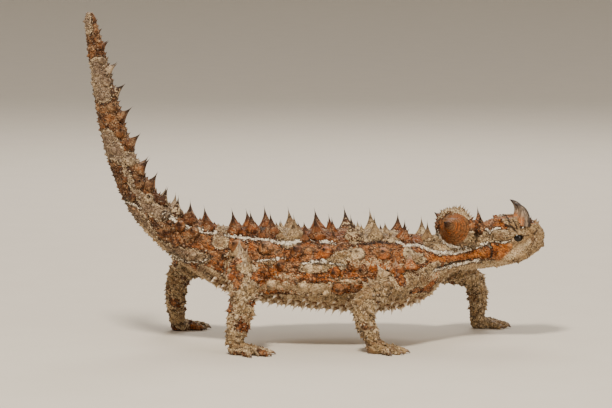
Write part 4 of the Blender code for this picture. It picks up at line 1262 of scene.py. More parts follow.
def marked_colour(tree, place, scales, markings_tree, scales_tree):
    """The hide's colour and scale height in a material, read from the piece's attributes."""
    pebbles = add(tree, "ShaderNodeGroup", node_tree=scales_tree)
    tree.links.new(place, pebbles.inputs["Place"])
    pebbles.inputs["Scales to a metre"].default_value = scales
    marks = add(tree, "ShaderNodeGroup", node_tree=markings_tree)
    for name in MARK_NAMES:
        tree.links.new(attribute(tree, name), marks.inputs[name])
    for name in SCALE_NAMES:
        tree.links.new(pebbles.outputs[name], marks.inputs[name])
    return marks.outputs["Colour"], pebbles


def new_material(name, roughness, specular):
    material = bpy.data.materials.new(name)
    material.use_nodes = True
    tree = material.node_tree
    shader = tree.nodes["Principled BSDF"]
    shader.inputs["Roughness"].default_value = roughness
    shader.inputs["Specular IOR Level"].default_value = specular
    return material, tree, shader


def finish(tree, shader, height, depth, **links):
    """Links a shader's inputs by their names, an underscore for a space, and adds relief."""
    bump = add(tree, "ShaderNodeBump", {"Height": height, "Distance": depth, "Strength": 1.0})
    tree.links.new(bump.outputs[0], shader.inputs["Normal"])
    for name, value in links.items():
        tree.links.new(value, shader.inputs[name.replace("_", " ")])


def skin_material(markings_tree, scales_tree):
    """Dull pebbled skin in the hide's colours."""
    material, tree, shader = new_material("pebbled_skin", 0.62, 0.18)
    place = object_place(tree)
    colour, pebbles = marked_colour(tree, place, SKIN_SCALES, markings_tree, scales_tree)
    rough = maths(tree, "MULTIPLY_ADD", pebbles.outputs["Mottle"], 0.25, 0.52)
    finish(tree, shader, pebbles.outputs["Height"], 0.00030, Base_Color=colour, Roughness=rough)
    return material


def scale_material(name, markings_tree, scales_tree, tip_dark, tip_pale, first, root_shade):
    """Thorns and scales: the hide's own markings at the root, changed towards the tip."""
    material, tree, shader = new_material(name, 0.55, 0.2)
    place = object_place(tree)
    colour, pebbles = marked_colour(tree, place, THORN_SCALES, markings_tree, scales_tree)
    tip = frayed(tree, attribute(tree, "tip"), pebbles.outputs["Jitter"], 0.25)
    # Painted shade: dark rust at the root, used on the belly fringe for the shade under the belly
    colour = blend(tree, product(tree, ramp(tree, tip, 0.35, 0.05), root_shade), colour, RUST_DEEP)
    risen = ramp(tree, tip, first, first + 0.45)
    colour = blend(tree, product(tree, risen, tip_pale), colour, WHITE_COLOUR)
    less_on_grey = maths(tree, "MULTIPLY_ADD", ramp(tree, attribute(tree, "patch"), -2.5, 0.5), 0.45, 0.55)
    colour = blend(tree, product(tree, risen, tip_dark, less_on_grey), colour, BLACK)
    rough = maths(tree, "SUBTRACT", 0.66, product(tree, tip, 0.22), clamp=True)
    finish(tree, shader, pebbles.outputs["Height"], 0.00016, Base_Color=colour, Roughness=rough)
    return material


def horn_material():
    """Streaked grey brown horn, rusty in front at its root and dark at its tip and back edge."""
    material, tree, shader = new_material("streaked_horn", 0.5, 0.4)
    place = object_place(tree)
    tip, front = attribute(tree, "tip"), attribute(tree, "front")
    stretched = add(tree, "ShaderNodeMapping", {"Vector": place, "Scale": (1.0, 1.0, 0.28)}).outputs[0]
    streaks = noise(tree, stretched, 1800.0, 5.0).outputs[0]
    fine = noise(tree, place, 3200.0, 3.0).outputs[0]
    colour = blend(tree, ramp(tree, streaks, 0.36, 0.64), HORN_DARK, HORN_GREY)
    warm = product(tree, ramp(tree, tip, 0.55, 0.15), ramp(tree, front, 0.35, 0.75))
    warm = product(tree, warm, ramp(tree, fine, 0.35, 0.6))
    colour = blend(tree, warm, colour, RUST_BRIGHT)
    colour = blend(tree, product(tree, ramp(tree, front, 0.30, 0.10), 0.85), colour, BLACK)
    colour = blend(tree, ramp(tree, tip, 0.58, 0.90), colour, BLACK)
    rough = maths(tree, "MULTIPLY_ADD", tip, -0.25, 0.68)
    finish(tree, shader, streaks, 0.00030, Base_Color=colour, Roughness=rough)
    return material


def eye_material():
    """A near black eye with a thin brown ring round its pupil."""
    material, tree, shader = new_material("dark_eye", 0.09, 0.3)
    ring = attribute(tree, "ring")
    grain = noise(tree, object_place(tree), 2600.0, 3.0).outputs[0]
    shown = product(tree, ramp(tree, ring, 0.52, 0.62), ramp(tree, ring, 0.80, 0.70), grain, 0.7)
    finish(tree, shader, grain, 0.00001, Base_Color=blend(tree, shown, EYE_BLACK, EYE_BROWN))
    return material


def claw_material():
    """Dark brown claws, paler at the root."""
    material, tree, shader = new_material("brown_claw", 0.4, 0.45)
    grain = noise(tree, object_place(tree), 2400.0, 4.0).outputs[0]
    colour = blend(tree, ramp(tree, attribute(tree, "tip"), 0.2, 0.9), GREY_MID, CLAW_DARK)
    colour = blend(tree, product(tree, grain, 0.35), colour, BROWN)
    finish(tree, shader, grain, 0.00008, Base_Color=colour)
    return material


# Great thorns of the back: x, angle, height, radius, on both sides
BACK_THORNS = (
    (0.0359, 66, 0.0066, 0.0026),
    (0.0275, 66, 0.0068, 0.0029),
    (0.0183, 67, 0.0073, 0.0030),
    (0.0092, 66, 0.0080, 0.0034),
    (0.0000, 66, 0.0079, 0.0033),
    (-0.0076, 68, 0.0074, 0.0033),
    (-0.0150, 74, 0.0070, 0.0031),
    (-0.0212, 74, 0.0068, 0.0030),
    (-0.0273, 68, 0.0064, 0.0027),
    (0.0298, 58, 0.0034, 0.0018),
    (0.0220, 57, 0.0036, 0.0019),
    (0.0133, 58, 0.0038, 0.0019),
    (0.0042, 58, 0.0040, 0.0020),
    (-0.0041, 58, 0.0038, 0.0019),
    (-0.0113, 60, 0.0034, 0.0018),
    (-0.0181, 60, 0.0032, 0.0017),
    (-0.0243, 60, 0.0032, 0.0016),
    (0.0043, 84, 0.0052, 0.0018),
    (-0.0113, 86, 0.0030, 0.0015),
    (0.0133, 84, 0.0030, 0.0014),
    (0.0220, 84, 0.0028, 0.0014),
    (-0.0040, 86, 0.0028, 0.0014),
    (0.0298, 84, 0.0024, 0.0012),
)
# Rows of lesser thorns: angle, x of first, x of last, spacing, height, radius, lean back
TRUNK_ROWS = (
    (31, 0.0280, -0.0250, 0.0090, 0.0028, 0.0026, 0.15),
    (7, 0.0250, -0.0240, 0.0086, 0.0024, 0.0022, 0.20),
    (-17, 0.0240, -0.0230, 0.0088, 0.0022, 0.0021, 0.20),
    (-36, 0.0260, -0.0240, 0.0062, 0.0020, 0.0014, 0.20),
    (45, 0.0290, -0.0260, 0.0036, 0.0014, 0.0010, 0.25),
    (19, 0.0270, -0.0250, 0.0036, 0.0012, 0.0009, 0.25),
    (-5, 0.0250, -0.0250, 0.0034, 0.0013, 0.0009, 0.25),
    (-27, 0.0260, -0.0250, 0.0032, 0.0014, 0.0009, 0.25),
    (56, 0.0320, -0.0290, 0.0022, 0.0012, 0.0008, 0.25),
    (76, 0.0330, -0.0290, 0.0030, 0.0010, 0.0007, 0.20),
)
# The white fringe where flank and belly meet, in the same terms
FRINGE_ROWS = (
    (-57, 0.0290, -0.0260, 0.0023, 0.0032, 0.0012, 0.30),
    (-48, 0.0290, -0.0270, 0.0026, 0.0027, 0.0012, 0.30),
    (-66, 0.0270, -0.0250, 0.0026, 0.0018, 0.0009, 0.30),
    (-40, 0.0280, -0.0260, 0.0042, 0.0020, 0.0012, 0.35),
)
NECK_ROWS = (
    (30, 0.0500, 0.0370, 0.0024, 0.0017, 0.0009, 0.15),
    (12, 0.0500, 0.0370, 0.0026, 0.0013, 0.0008, 0.20),
    (-8, 0.0500, 0.0370, 0.0024, 0.0014, 0.0008, 0.20),
    (-30, 0.0500, 0.0370, 0.0026, 0.0012, 0.0007, 0.20),
    (-52, 0.0500, 0.0370, 0.0026, 0.0013, 0.0007, 0.20),
)
NECK_SPINE = (0.0520, 62, 0.0070, 0.0024)
NECK_SPINE_LEAN = -0.55
# The tail's whorls of thorns: distance from the tail's root and height of the tallest
TAIL_WHORLS = (
    (0.0050, 0.0062),
    (0.0105, 0.0060),
    (0.0160, 0.0058),
    (0.0220, 0.0055),
    (0.0287, 0.0057),
    (0.0345, 0.0054),
    (0.0437, 0.0055),
    (0.0520, 0.0052),
    (0.0594, 0.0050),
    (0.0668, 0.0040),
    (0.0738, 0.0030),
    (0.0786, 0.0018),
)
# Angle of each pair in a whorl, then its height and radius as shares of the tallest
TAIL_RING = ((64, 1.0, 0.44), (24, 0.52, 0.34), (-22, 0.36, 0.26), (-64, 0.26, 0.20))
# Small thorns between whorls: angle, height and radius at the tail's root
TAIL_FILL = (
    (84, 0.0015, 0.0009),
    (46, 0.0017, 0.0010),
    (4, 0.0013, 0.0009),
    (-42, 0.0012, 0.0008),
    (-84, 0.0010, 0.0007),
)
# Where they start after the root, how far apart they stand and where they end before the tip
TAIL_FILL_START = 0.0020
TAIL_FILL_STEP = 0.0017
TAIL_FILL_END = 0.0015
TAIL_LEAN = 0.30
# Thorns of a limb: share of its length, angle with 90 outside the bend, height, radius
LIMB_THORNS = (
    (0.28, 92, 0.0050, 0.0026),
    (0.34, 64, 0.0040, 0.0022),
    (0.43, 88, 0.0056, 0.0028),
    (0.36, 40, 0.0024, 0.0014),
    (0.36, 140, 0.0024, 0.0014),
    (0.47, 20, 0.0026, 0.0015),
    (0.47, 158, 0.0026, 0.0015),
    (0.53, 70, 0.0024, 0.0014),
    (0.60, 90, 0.0030, 0.0017),
    (0.64, 25, 0.0025, 0.0014),
    (0.64, 160, 0.0025, 0.0014),
    (0.70, 85, 0.0024, 0.0014),
    (0.76, 15, 0.0022, 0.0013),
    (0.76, 165, 0.0022, 0.0013),
    (0.81, 70, 0.0019, 0.0012),
    (0.87, 20, 0.0017, 0.0010),
    (0.87, 160, 0.0017, 0.0010),
    (0.70, 225, 0.0015, 0.0009),
    (0.72, 315, 0.0015, 0.0009),
    (0.56, 225, 0.0015, 0.0009),
    (0.58, 315, 0.0015, 0.0009),
)
# How many rings of small thorns stand along a limb
SMALL_RINGS = 15
# Thorns of the head: x, angle, height, radius, lean towards the neck, on both sides
HEAD_THORNS = (
    (0.0545, 30, 0.0026, 0.0012, 0.60),
    (0.0548, -20, 0.0024, 0.0013, 0.45),
    (0.0580, -6, 0.0014, 0.0009, 0.40),
    (0.0560, -48, 0.0014, 0.0008, 0.40),
    (0.0600, -50, 0.0012, 0.0008, 0.30),
    (0.0638, -48, 0.0011, 0.0008, 0.20),
    (0.0650, 70, 0.0024, 0.0011, 0.10),
    (0.0668, 64, 0.0018, 0.0009, -0.10),
    (0.0655, 28, 0.0013, 0.0008, 0.10),
    (0.0560, 82, 0.0015, 0.0009, 0.40),
)


# Small thorns of the knob: how many on each rim and on top, their radius, how far off the body
# their roots must lie, and which way they lean
RIM_THORNS = 34
TOP_THORNS = 26
KNOB_THORN_RADIUS = 0.0007
KNOB_CLEARANCE = 0.0004
BACKWARDS = np.array((-1.0, 0.0, 0.0))
# Spines that stand up on shoulder and hip: share of the limb's length, height, radius
ROOT_SPINES = ((0.17, 0.0058, 0.0030), (0.30, 0.0050, 0.0027))
# How far outside another tube a thorn's root must lie
CLEARANCE = 0.0006


def clear_of(tubes, thorns):
    """The thorns whose roots lie outside all those tubes."""
    return [t for t in thorns if all(tube.locate(np.array([t.root]))[2][0] > CLEARANCE for tube in tubes)]


def one_thorn(tube, along, angle, height, radius, lean):
    along = min(max(along, 0.0), tube.length)
    root = tube.point(along, angle)
    way = tube.tangent(along)
    out = tube.normal(along, angle) + way * lean
    return Thorn(root, out / np.linalg.norm(out), way, height, radius)


def both_sides(draw, tube, along, angle, height, radius, lean, spread=2.5):
    """A thorn and its fellow on the other side, each a little different."""
    made = []
    for other in (False, True):
        turned = angle + draw.uniform(-spread, spread)
        tall = height * draw.uniform(0.92, 1.08)
        at = along + draw.uniform(-0.3, 0.3) * radius
        made.append(one_thorn(tube, at, 180 - turned if other else turned, tall, radius, lean))
    return made


def places_along(start, end, step):
    """Distances along the body from one x to another, about a step apart."""
    first, last = BODY_TUBE.where(0, start), BODY_TUBE.where(0, end)
    count = int(round((last - first) / step)) + 1
    return [first + (last - first) * i / max(count - 1, 1) for i in range(count)]


def rows_of_thorns(draw, rows):
    """Rows along the trunk on both sides, every other row set half a step back."""
    made = []
    for number, (angle, start, end, step, height, radius, lean) in enumerate(rows):
        back = step / 2 if number % 2 else 0
        for along in places_along(start, end, step):
            tall = height * draw.uniform(0.8, 1.2)
            made += both_sides(draw, BODY_TUBE, along + back, angle, tall, radius, lean)
    return made


def trunk_thorns(draw):
    made = []
    for x, angle, height, radius in BACK_THORNS:
        made += both_sides(draw, BODY_TUBE, BODY_TUBE.where(0, x), angle, height, radius, 0.06, spread=1.0)
    made += rows_of_thorns(draw, TRUNK_ROWS)
    return clear_of(TUBES[1:], made)


def fringe_thorns(draw):
    return clear_of(TUBES[1:], rows_of_thorns(draw, FRINGE_ROWS))


def neck_thorns(draw):
    """The pair of neck spines and the small thorns behind the head."""
    x, angle, height, radius = NECK_SPINE
    along = BODY_TUBE.where(0, x)
    made = both_sides(draw, BODY_TUBE, along, angle, height, radius, NECK_SPINE_LEAN, spread=1.0)
    for angle, start, end, step, height, radius, lean in NECK_ROWS:
        for along in places_along(start, end, step):
            made += both_sides(draw, BODY_TUBE, along, angle, height, radius, lean)
    return made


def tail_whorls(draw, root):
    """Whorls of thorns round the tail, with every other pair halfway to the next whorl."""
    made = []
    for whorl, (place, tallest) in enumerate(TAIL_WHORLS):
        following = TAIL_WHORLS[min(whorl + 1, len(TAIL_WHORLS) - 1)][0]
        for number, (angle, height, radius) in enumerate(TAIL_RING):
            at = root + (place if number % 2 == 0 else (place + following) / 2)
            sizes = (height * tallest, radius * tallest)
            made += both_sides(draw, BODY_TUBE, at, angle, *sizes, TAIL_LEAN)
    return made


def tail_fill(draw, root):
    """Small thorns all along the tail, smaller towards its tip."""
    made = []
    at = root + TAIL_FILL_START
    while at < BODY_TUBE.length - TAIL_FILL_END:
        share = 1 - 0.45 * (at - root) / (BODY_TUBE.length - root)
        for angle, height, radius in TAIL_FILL:
            tall = height * share * draw.uniform(0.8, 1.3)
            made += both_sides(draw, BODY_TUBE, at, angle, tall, radius * share, TAIL_LEAN, spread=6)
        at += TAIL_FILL_STEP
    return made


def tail_thorns(draw):
    root = BODY_TUBE.where(0, TRUNK_BACK_X)
    return tail_whorls(draw, root) + tail_fill(draw, root)


def root_spines(draw):
    """Tall grey spines that stand up on shoulder and hip."""
    made = []
    for tube in TUBES[1:]:
        for share, height, radius in ROOT_SPINES:
            along = share * tube.length
            normals = {angle: tube.normal(along, angle) for angle in range(0, 360, 15)}
            upmost = max(normals, key=lambda angle: normals[angle][2])
            out = normals[upmost] + np.array((draw.uniform(-0.15, 0.15), 0.0, 0.7))
            root = tube.point(along, upmost)
            made.append(Thorn(root, out / np.linalg.norm(out), tube.tangent(along), height, radius))
    return made


def small_limb_thorns(draw, tube):
    """Rings of small thorns along a limb, every other ring set half a step round."""
    made = []
    for i in range(SMALL_RINGS):
        along = (0.34 + 0.60 * i / (SMALL_RINGS - 1)) * tube.length
        for k in range(6):
            angle = 60 * k + 30 * (i % 2) + draw.uniform(-12, 12)
            tall = draw.uniform(0.0008, 0.0015)
            made.append(one_thorn(tube, along, angle, tall, 0.0009, 0.45))
    return made


def limb_thorns(draw):
    made = []
    for tube in TUBES[1:]:
        for share, angle, height, radius in LIMB_THORNS:
            tall = height * draw.uniform(0.9, 1.1)
            made.append(one_thorn(tube, share * tube.length, angle, tall, radius, 0.15))
        made += small_limb_thorns(draw, tube)
    return clear_of([BODY_TUBE], made) + root_spines(draw)


def head_thorns(draw):
    made = []
    for x, angle, height, radius, lean in HEAD_THORNS:
        made += both_sides(draw, BODY_TUBE, BODY_TUBE.where(0, x), angle, height, radius, lean)
    return made


def rim_thorns(draw, side):
    """A fringe of small thorns round the rim of one face of the knob."""
    root, tip = mirrored(KNOB_CONE_ROOT, side), mirrored(KNOB_CONE_TIP, side)
    axis = (tip - root).normalized()
    up = (Vector((0, 0, 1)) - axis * axis.z).normalized()
    level = axis.cross(up)
    made = []
    for i in range(RIM_THORNS):
        turn = math.radians(-150 + 300 * i / (RIM_THORNS - 1))
        out = up * math.cos(turn) + level * math.sin(turn)
        inward = draw.uniform(0.0, 0.5)
        place = root + out * (KNOB_CONE_RADIUS + KNOB_RIM_RADIUS * 0.8) - axis * inward * 0.0012
        way = (out - axis * inward * 0.6).normalized()
        tall = draw.uniform(0.0010, 0.0019) * (1.2 if math.cos(turn) > 0 else 0.8)
        made.append(Thorn(np.array(place), np.array(way), BACKWARDS, tall, KNOB_THORN_RADIUS))
    return made


def top_thorns(draw):
    """Small thorns over the top of the knob."""
    made = []
    for _ in range(TOP_THORNS):
        out = np.array((draw.uniform(-0.9, 0.9), draw.uniform(-0.5, 0.5), 1.0))
        out /= np.linalg.norm(out)
        place = np.array(KNOB_CENTRE) + out * np.array(KNOB_SIZE) * 0.98
        made.append(Thorn(place, out, BACKWARDS, draw.uniform(0.0010, 0.0018), KNOB_THORN_RADIUS))
    return made


def knob_thorns(draw):
    made = rim_thorns(draw, -1) + rim_thorns(draw, 1) + top_thorns(draw)
    return [t for t in made if BODY_TUBE.locate(np.array([t.root]))[2][0] > KNOB_CLEARANCE]


# Thorns taller than this carry no lines or dark strokes
TALL_THORN = 0.0030
# How deep a thorn's root lies under the skin, as a share of its height
ROOT_DEPTH = 0.06


def root_and_turn(thorn, surface):
    """Where a thorn's root lies under the skin, and its turn."""
    out = Vector(thorn.out).normalized()
    place = surface.find_nearest(Vector(thorn.root))[0]
    side = Vector(thorn.lean)
    side = (side - out * side.dot(out)).normalized()
    matrix = Matrix((side, out.cross(side), out)).transposed()
    return tuple(place - out * thorn.height * ROOT_DEPTH), tuple(matrix.to_euler())


def thorn_points(name, thorns, surface):
    """A mesh of points, one for each thorn, set on the skin, with size, turn and markings."""
    mesh = bpy.data.meshes.new(name)
    roots, turns = zip(*[root_and_turn(thorn, surface) for thorn in thorns])
    mesh.from_pydata(roots, [], [])
    sizes = np.array([(t.radius, t.radius, t.height) for t in thorns])
    for label, values in (("turn", np.array(turns)), ("size", sizes)):
        stored = mesh.attributes.new(label, "FLOAT_VECTOR", "POINT")
        stored.data.foreach_set("vector", values.astype(np.float32).ravel())
    marks = markings(np.array(roots))
    tall = sizes[:, 2] > TALL_THORN
    marks["line"] = np.where(tall, NO_MARK, marks["line"])
    marks["orange"] = np.where(tall, marks["orange"] + 3.0, marks["orange"])
    marks["dark"] = np.where(tall, NO_MARK, marks["dark"])
    for label, values in marks.items():
        store(mesh, label, values)
    return new_object(name, mesh)


def geometry_group(name, inputs):
    tree = bpy.data.node_groups.new(name, "GeometryNodeTree")
    tree.is_modifier = True
    tree.interface.new_socket("Geometry", in_out="INPUT", socket_type="NodeSocketGeometry")
    for label, kind, value in inputs:
        socket = tree.interface.new_socket(label, in_out="INPUT", socket_type=kind)
        if value is not None:
            socket.default_value = value
    tree.interface.new_socket("Geometry", in_out="OUTPUT", socket_type="NodeSocketGeometry")
    return with_ends(tree)


def named(tree, name, kind):
    return add(tree, "GeometryNodeInputNamedAttribute", {"Name": name}, data_type=kind).outputs[0]


def with_attribute(tree, geometry, name, value, **settings):
    """The geometry with a value stored under that name."""
    inputs = {"Geometry": geometry, "Name": name, "Value": value}
    return add(tree, "GeometryNodeStoreNamedAttribute", inputs, **settings).outputs[0]


def thorn_shape(tree, sides, rings, hollow, bend):
    """A hollow-sided, slightly bent cone one high and one in radius, with its tip marked."""
    size = {"Radius Top": 0.0, "Radius Bottom": 1.0, "Depth": 1.0}
    size.update({"Vertices": sides, "Side Segments": rings})
    cone = add(tree, "GeometryNodeMeshCone", size, fill_type="NGON")
    place = tree.nodes.new("GeometryNodeInputPosition").outputs[0]
    parts = add(tree, "ShaderNodeSeparateXYZ", {0: place}).outputs
    tip = maths(tree, "ADD", parts["Z"], 0.0, clamp=True)
    left = maths(tree, "SUBTRACT", 1.0, tip, clamp=True)
    narrow = maths(tree, "POWER", left, hollow)
    lean = product(tree, maths(tree, "POWER", tip, 2.0), bend)
    x = maths(tree, "ADD", product(tree, parts["X"], narrow), lean)
    y = product(tree, parts["Y"], narrow)
    moved = add(tree, "ShaderNodeCombineXYZ", {"X": x, "Y": y, "Z": parts["Z"]}).outputs[0]
    tipped = with_attribute(tree, cone.outputs["Mesh"], "tip", tip)
    spotted = with_attribute(tree, tipped, "spot", place, data_type="FLOAT_VECTOR")
    return add(tree, "GeometryNodeSetPosition", {"Geometry": spotted, "Position": moved}).outputs[0]


# Breadth of a thorn's or scale's patch in the map
PATCH_SIZE = 0.0015


def baked_out(tree, instances, material, end):
    """Real mesh from instances, each a small patch at its root's place in the map."""
    real = add(tree, "GeometryNodeRealizeInstances", {"Geometry": instances}).outputs[0]
    spot, root = named(tree, "spot", "FLOAT_VECTOR"), named(tree, "unwrap", "FLOAT_VECTOR")
    inputs = {0: spot, 1: (PATCH_SIZE, PATCH_SIZE, 0.0), 2: root}
    place = add(tree, "ShaderNodeVectorMath", inputs, operation="MULTIPLY_ADD").outputs[0]
    flat = with_attribute(tree, real, "OFBake", place, data_type="FLOAT2", domain="CORNER")
    smooth = add(tree, "GeometryNodeSetShadeSmooth", {"Geometry": flat}).outputs[0]
    finished = add(tree, "GeometryNodeSetMaterial", {"Geometry": smooth, "Material": material})
    tree.links.new(finished.outputs[0], end["Geometry"])


def placed_on(tree, points, shape, turn, size):
    """The shape set on every point, turned and sized."""
    inputs = {"Points": points, "Instance": shape, "Rotation": turn, "Scale": size}
    return add(tree, "GeometryNodeInstanceOnPoints", inputs).outputs[0]


def thorn_tree():
    """Sets a thorn on every point of a mesh, by the points' own sizes and turns."""
    inputs = (
        ("Sides", "NodeSocketInt", 12),
        ("Rings", "NodeSocketInt", 7),
        ("Hollow", "NodeSocketFloat", 0.9),
        ("Bend", "NodeSocketFloat", 0.3),
        ("Material", "NodeSocketMaterial", None),
    )
    tree, start, end = geometry_group("thorns on points", inputs)
    shape = thorn_shape(tree, start["Sides"], start["Rings"], start["Hollow"], start["Bend"])
    turn = add(tree, "FunctionNodeEulerToRotation", {0: named(tree, "turn", "FLOAT_VECTOR")}).outputs[0]
    ready = add(tree, "GeometryNodeMeshToPoints", {"Mesh": start["Geometry"]}).outputs[0]
    placed = placed_on(tree, ready, shape, turn, named(tree, "size", "FLOAT_VECTOR"))
    baked_out(tree, placed, start["Material"], end)
    return tree


# Scales to a square metre before they are thinned by their spacing
MOST_SCALES = 6000000.0


def scatter_tree():
    """Scatters low pointed scales over a skin."""
    inputs = (
        ("Cover", "NodeSocketString", "low_cover"),
        ("Spacing", "NodeSocketFloat", 0.0009),
        ("Size", "NodeSocketFloat", 0.0005),
        ("Height", "NodeSocketFloat", 0.0005),
        ("Sides", "NodeSocketInt", 5),
        ("Seed", "NodeSocketInt", 5),
        ("Material", "NodeSocketMaterial", None),
    )
    tree, start, end = geometry_group("scales on skin", inputs)
    shape = thorn_shape(tree, start["Sides"], 1, 0.4, 0.35)
    points = add(tree, "GeometryNodeDistributePointsOnFaces", {"Mesh": start["Geometry"]})
    points.distribute_method = "POISSON"
    points.inputs["Density Max"].default_value = MOST_SCALES
    tree.links.new(named(tree, start["Cover"], "FLOAT"), points.inputs["Density Factor"])
    tree.links.new(start["Spacing"], points.inputs["Distance Min"])
    tree.links.new(start["Seed"], points.inputs["Seed"])
    between = {"Seed": 3, 2: 0.65, 3: 1.35}
    share = add(tree, "FunctionNodeRandomValue", between, data_type="FLOAT").outputs[1]
    wide, tall = product(tree, start["Size"], share), product(tree, start["Height"], share)
    size = add(tree, "ShaderNodeCombineXYZ", {"X": wide, "Y": wide, "Z": tall}).outputs[0]
    placed = placed_on(tree, points.outputs["Points"], shape, points.outputs["Rotation"], size)
    baked_out(tree, placed, start["Material"], end)
    return tree


def grown(obj, tree, name, values):
    """The plain mesh that a node tree makes of an object, with the tree's inputs set."""
    modifier = obj.modifiers.new("grow", "NODES")
    modifier.node_group = tree
    sockets = {item.name: item.identifier for item in tree.interface.items_tree if item.in_out == "INPUT"}
    for label, value in values.items():
        modifier[sockets[label]] = value
    mesh = evaluated(obj, name)
    obj.modifiers.remove(modifier)
    points = of_vertices(mesh, "co")
    points[:, 2] = np.maximum(points[:, 2], 0.0)
    set_coordinates(mesh, points)
    return new_object(name, mesh)


def eye_object(name, side, material):
    """An eyeball with a ring attribute that grows from its pupil outwards."""
    bm = bmesh.new()
    bmesh.ops.create_uvsphere(bm, u_segments=40, v_segments=24, radius=EYE_RADIUS)
    mesh = mesh_of(bm, name)
    points = of_vertices(mesh, "co")
    ring = np.arccos(np.clip(points[:, 1] * side / EYE_RADIUS, -1, 1)) / (math.pi / 2)
    store(mesh, "ring", ring)
    mesh.transform(Matrix.Translation(mirrored(EYE_CENTRE, side)))
    mesh.shade_smooth()
    mesh.materials.append(material)
    return new_object(name, mesh)


# Rings along a horn or claw, and how far its growth ridges turn from ring to ring
SWEPT_RINGS = 28
RIDGE_TURN = 2.3


def swept(name, centres, radii, sides, ridge, material):
    """A tapering horn or claw with faint growth ridges and its tip marked."""
    table = np.column_stack([np.array([tuple(c) for c in centres]), radii, radii])
    tube = Tube(table, (0, 1, 0), 2.0)
    along = np.linspace(0, tube.length, SWEPT_RINGS)
    angles = np.arange(sides) * 360.0 / sides
    bm = bmesh.new()
    rings = []
    for i, s in enumerate(along):
        swell = ridge * math.sin(i * RIDGE_TURN) * (1 - i / SWEPT_RINGS)
        rings.append(tube.points(np.full(sides, s), angles, swell))
    loft(bm, rings)
    for vert in bm.verts:
        vert.co.z = max(vert.co.z, 0.0)
    bmesh.ops.recalc_face_normals(bm, faces=bm.faces)
    mesh = mesh_of(bm, name)
    store(mesh, "tip", np.repeat(np.linspace(0, 1, SWEPT_RINGS), sides))
    store(mesh, "front", np.tile(0.5 - 0.5 * np.sin(np.radians(angles)), SWEPT_RINGS))
    mesh.shade_smooth()
    mesh.materials.append(material)
    return new_object(name, mesh)


def horn_object(name, side, material):
    root, bend, tip = (mirrored(p, side) for p in (HORN_ROOT, HORN_BEND, HORN_TIP))
    shares = [i / 9 for i in range(10)]
    centres = [root * (1 - t) ** 2 + bend * 2 * t * (1 - t) + tip * t**2 for t in shares]
    radii = [HORN_RADIUS * (1 - t) ** HORN_TAPER + HORN_POINT for t in shares]
    return swept(name, centres, radii, 24, HORN_RIDGE, material)


def join_objects(name, objs):
    """One object from several, whose places are already in their meshes."""
    for obj in bpy.context.selected_objects:
        obj.select_set(False)
    for obj in objs:
        obj.select_set(True)
    bpy.context.view_layer.objects.active = objs[0]
    bpy.ops.object.join()
    objs[0].name = name
    return objs[0]


def claws_of(key, name, material):
    _, _, toes = foot_plan(key)
    made = []
    for number, (start, way, length) in enumerate(toes):
        root = start + way * length
        centres = [root + way * reach + Vector((0, 0, height)) for reach, height, _ in CLAW_PLAN]
        radii = [girth for _, _, girth in CLAW_PLAN]
        made.append(swept(f"{name}_{number}", centres, radii, 10, 0.0, material))
    return join_objects(name, made)


# The floor: how far it lies flat, the radius of its bend, the wall's height, and its sides
FLOOR_REACH = 2.5
FLOOR_BEND = 0.8
WALL_HEIGHT = 1.7
FLOOR_SIDES = 96


def floor_profile():
    """Places out and up on the floor, from near its middle to the top of its wall."""
    profile = [(1.2, 0.0), (FLOOR_REACH, 0.0)]
    for i in range(1, 13):
        turn = math.pi / 2 * i / 12
        profile.append((FLOOR_REACH + FLOOR_BEND * math.sin(turn), FLOOR_BEND - FLOOR_BEND * math.cos(turn)))
    return [*profile, (FLOOR_REACH + FLOOR_BEND, WALL_HEIGHT)]


def floor_material():
    """A pale, dull floor with faint stains."""
    material, tree, shader = new_material("pale_floor", 0.9, 0.2)
    grain = noise(tree, object_place(tree), 60.0, 3.0).outputs[0]
    tree.links.new(blend(tree, grain, FLOOR_DARK, FLOOR_PALE), shader.inputs["Base Color"])
    return material


def floor_object():
    """A pale round floor that curves up into a wall far off on every side."""
    bm = bmesh.new()
    centre = bm.verts.new((0, 0, 0))
    turns = evenly(FLOOR_SIDES)
    rows = []
    for reach, height in floor_profile():
        rows.append([bm.verts.new((reach * math.cos(t), reach * math.sin(t), height)) for t in turns])
    for i in range(FLOOR_SIDES):
        j = (i + 1) % FLOOR_SIDES
        bm.faces.new((centre, rows[0][i], rows[0][j]))
        for first, second in zip(rows, rows[1:]):
            bm.faces.new((first[i], second[i], second[j], first[j]))
    obj = new_object("floor", mesh_of(bm, "floor"))
    obj.data.shade_smooth()
    obj.data.materials.append(floor_material())


def area_light(name, place, target, size, power, colour):
    light = bpy.data.lights.new(name, "AREA")
    light.shape = "DISK"
    light.size = size
    light.energy = power
    light.color = colour
    obj = new_object(name, light)
    obj.location = place
    obj.rotation_euler = (Vector(target) - Vector(place)).to_track_quat("-Z", "Y").to_euler()


# Lights: name, place, what they point at, size, power, colour
LIGHTS = (
    ("key", (-0.15, -0.45, 0.75), (0, 0, 0.03), 0.14, 9.0, (1.0, 0.93, 0.81)),
    ("fill", (0.55, -0.55, 0.25), (0, 0, 0.03), 0.5, 2.4, (1.0, 0.96, 0.90)),
    ("rim", (0.1, 0.6, 0.5), (0, 0, 0.04), 0.4, 3.0, (1.0, 0.96, 0.9)),
)
SKY_COLOUR = (0.80, 0.76, 0.70, 1)
SKY_STRENGTH = 0.85


def light_scene():
    for light in LIGHTS:
        area_light(*light)
    world = bpy.data.worlds.new("studio")
    world.use_nodes = True
    background = world.node_tree.nodes["Background"]
    background.inputs["Color"].default_value = SKY_COLOUR
    background.inputs["Strength"].default_value = SKY_STRENGTH
    bpy.context.scene.world = world


# The camera, and the place in the side view that it looks at
CAMERA_DISTANCE = 1.022
CAMERA_LENS = 200.0
VIEW_MIDDLE = (306.0, 204.0)


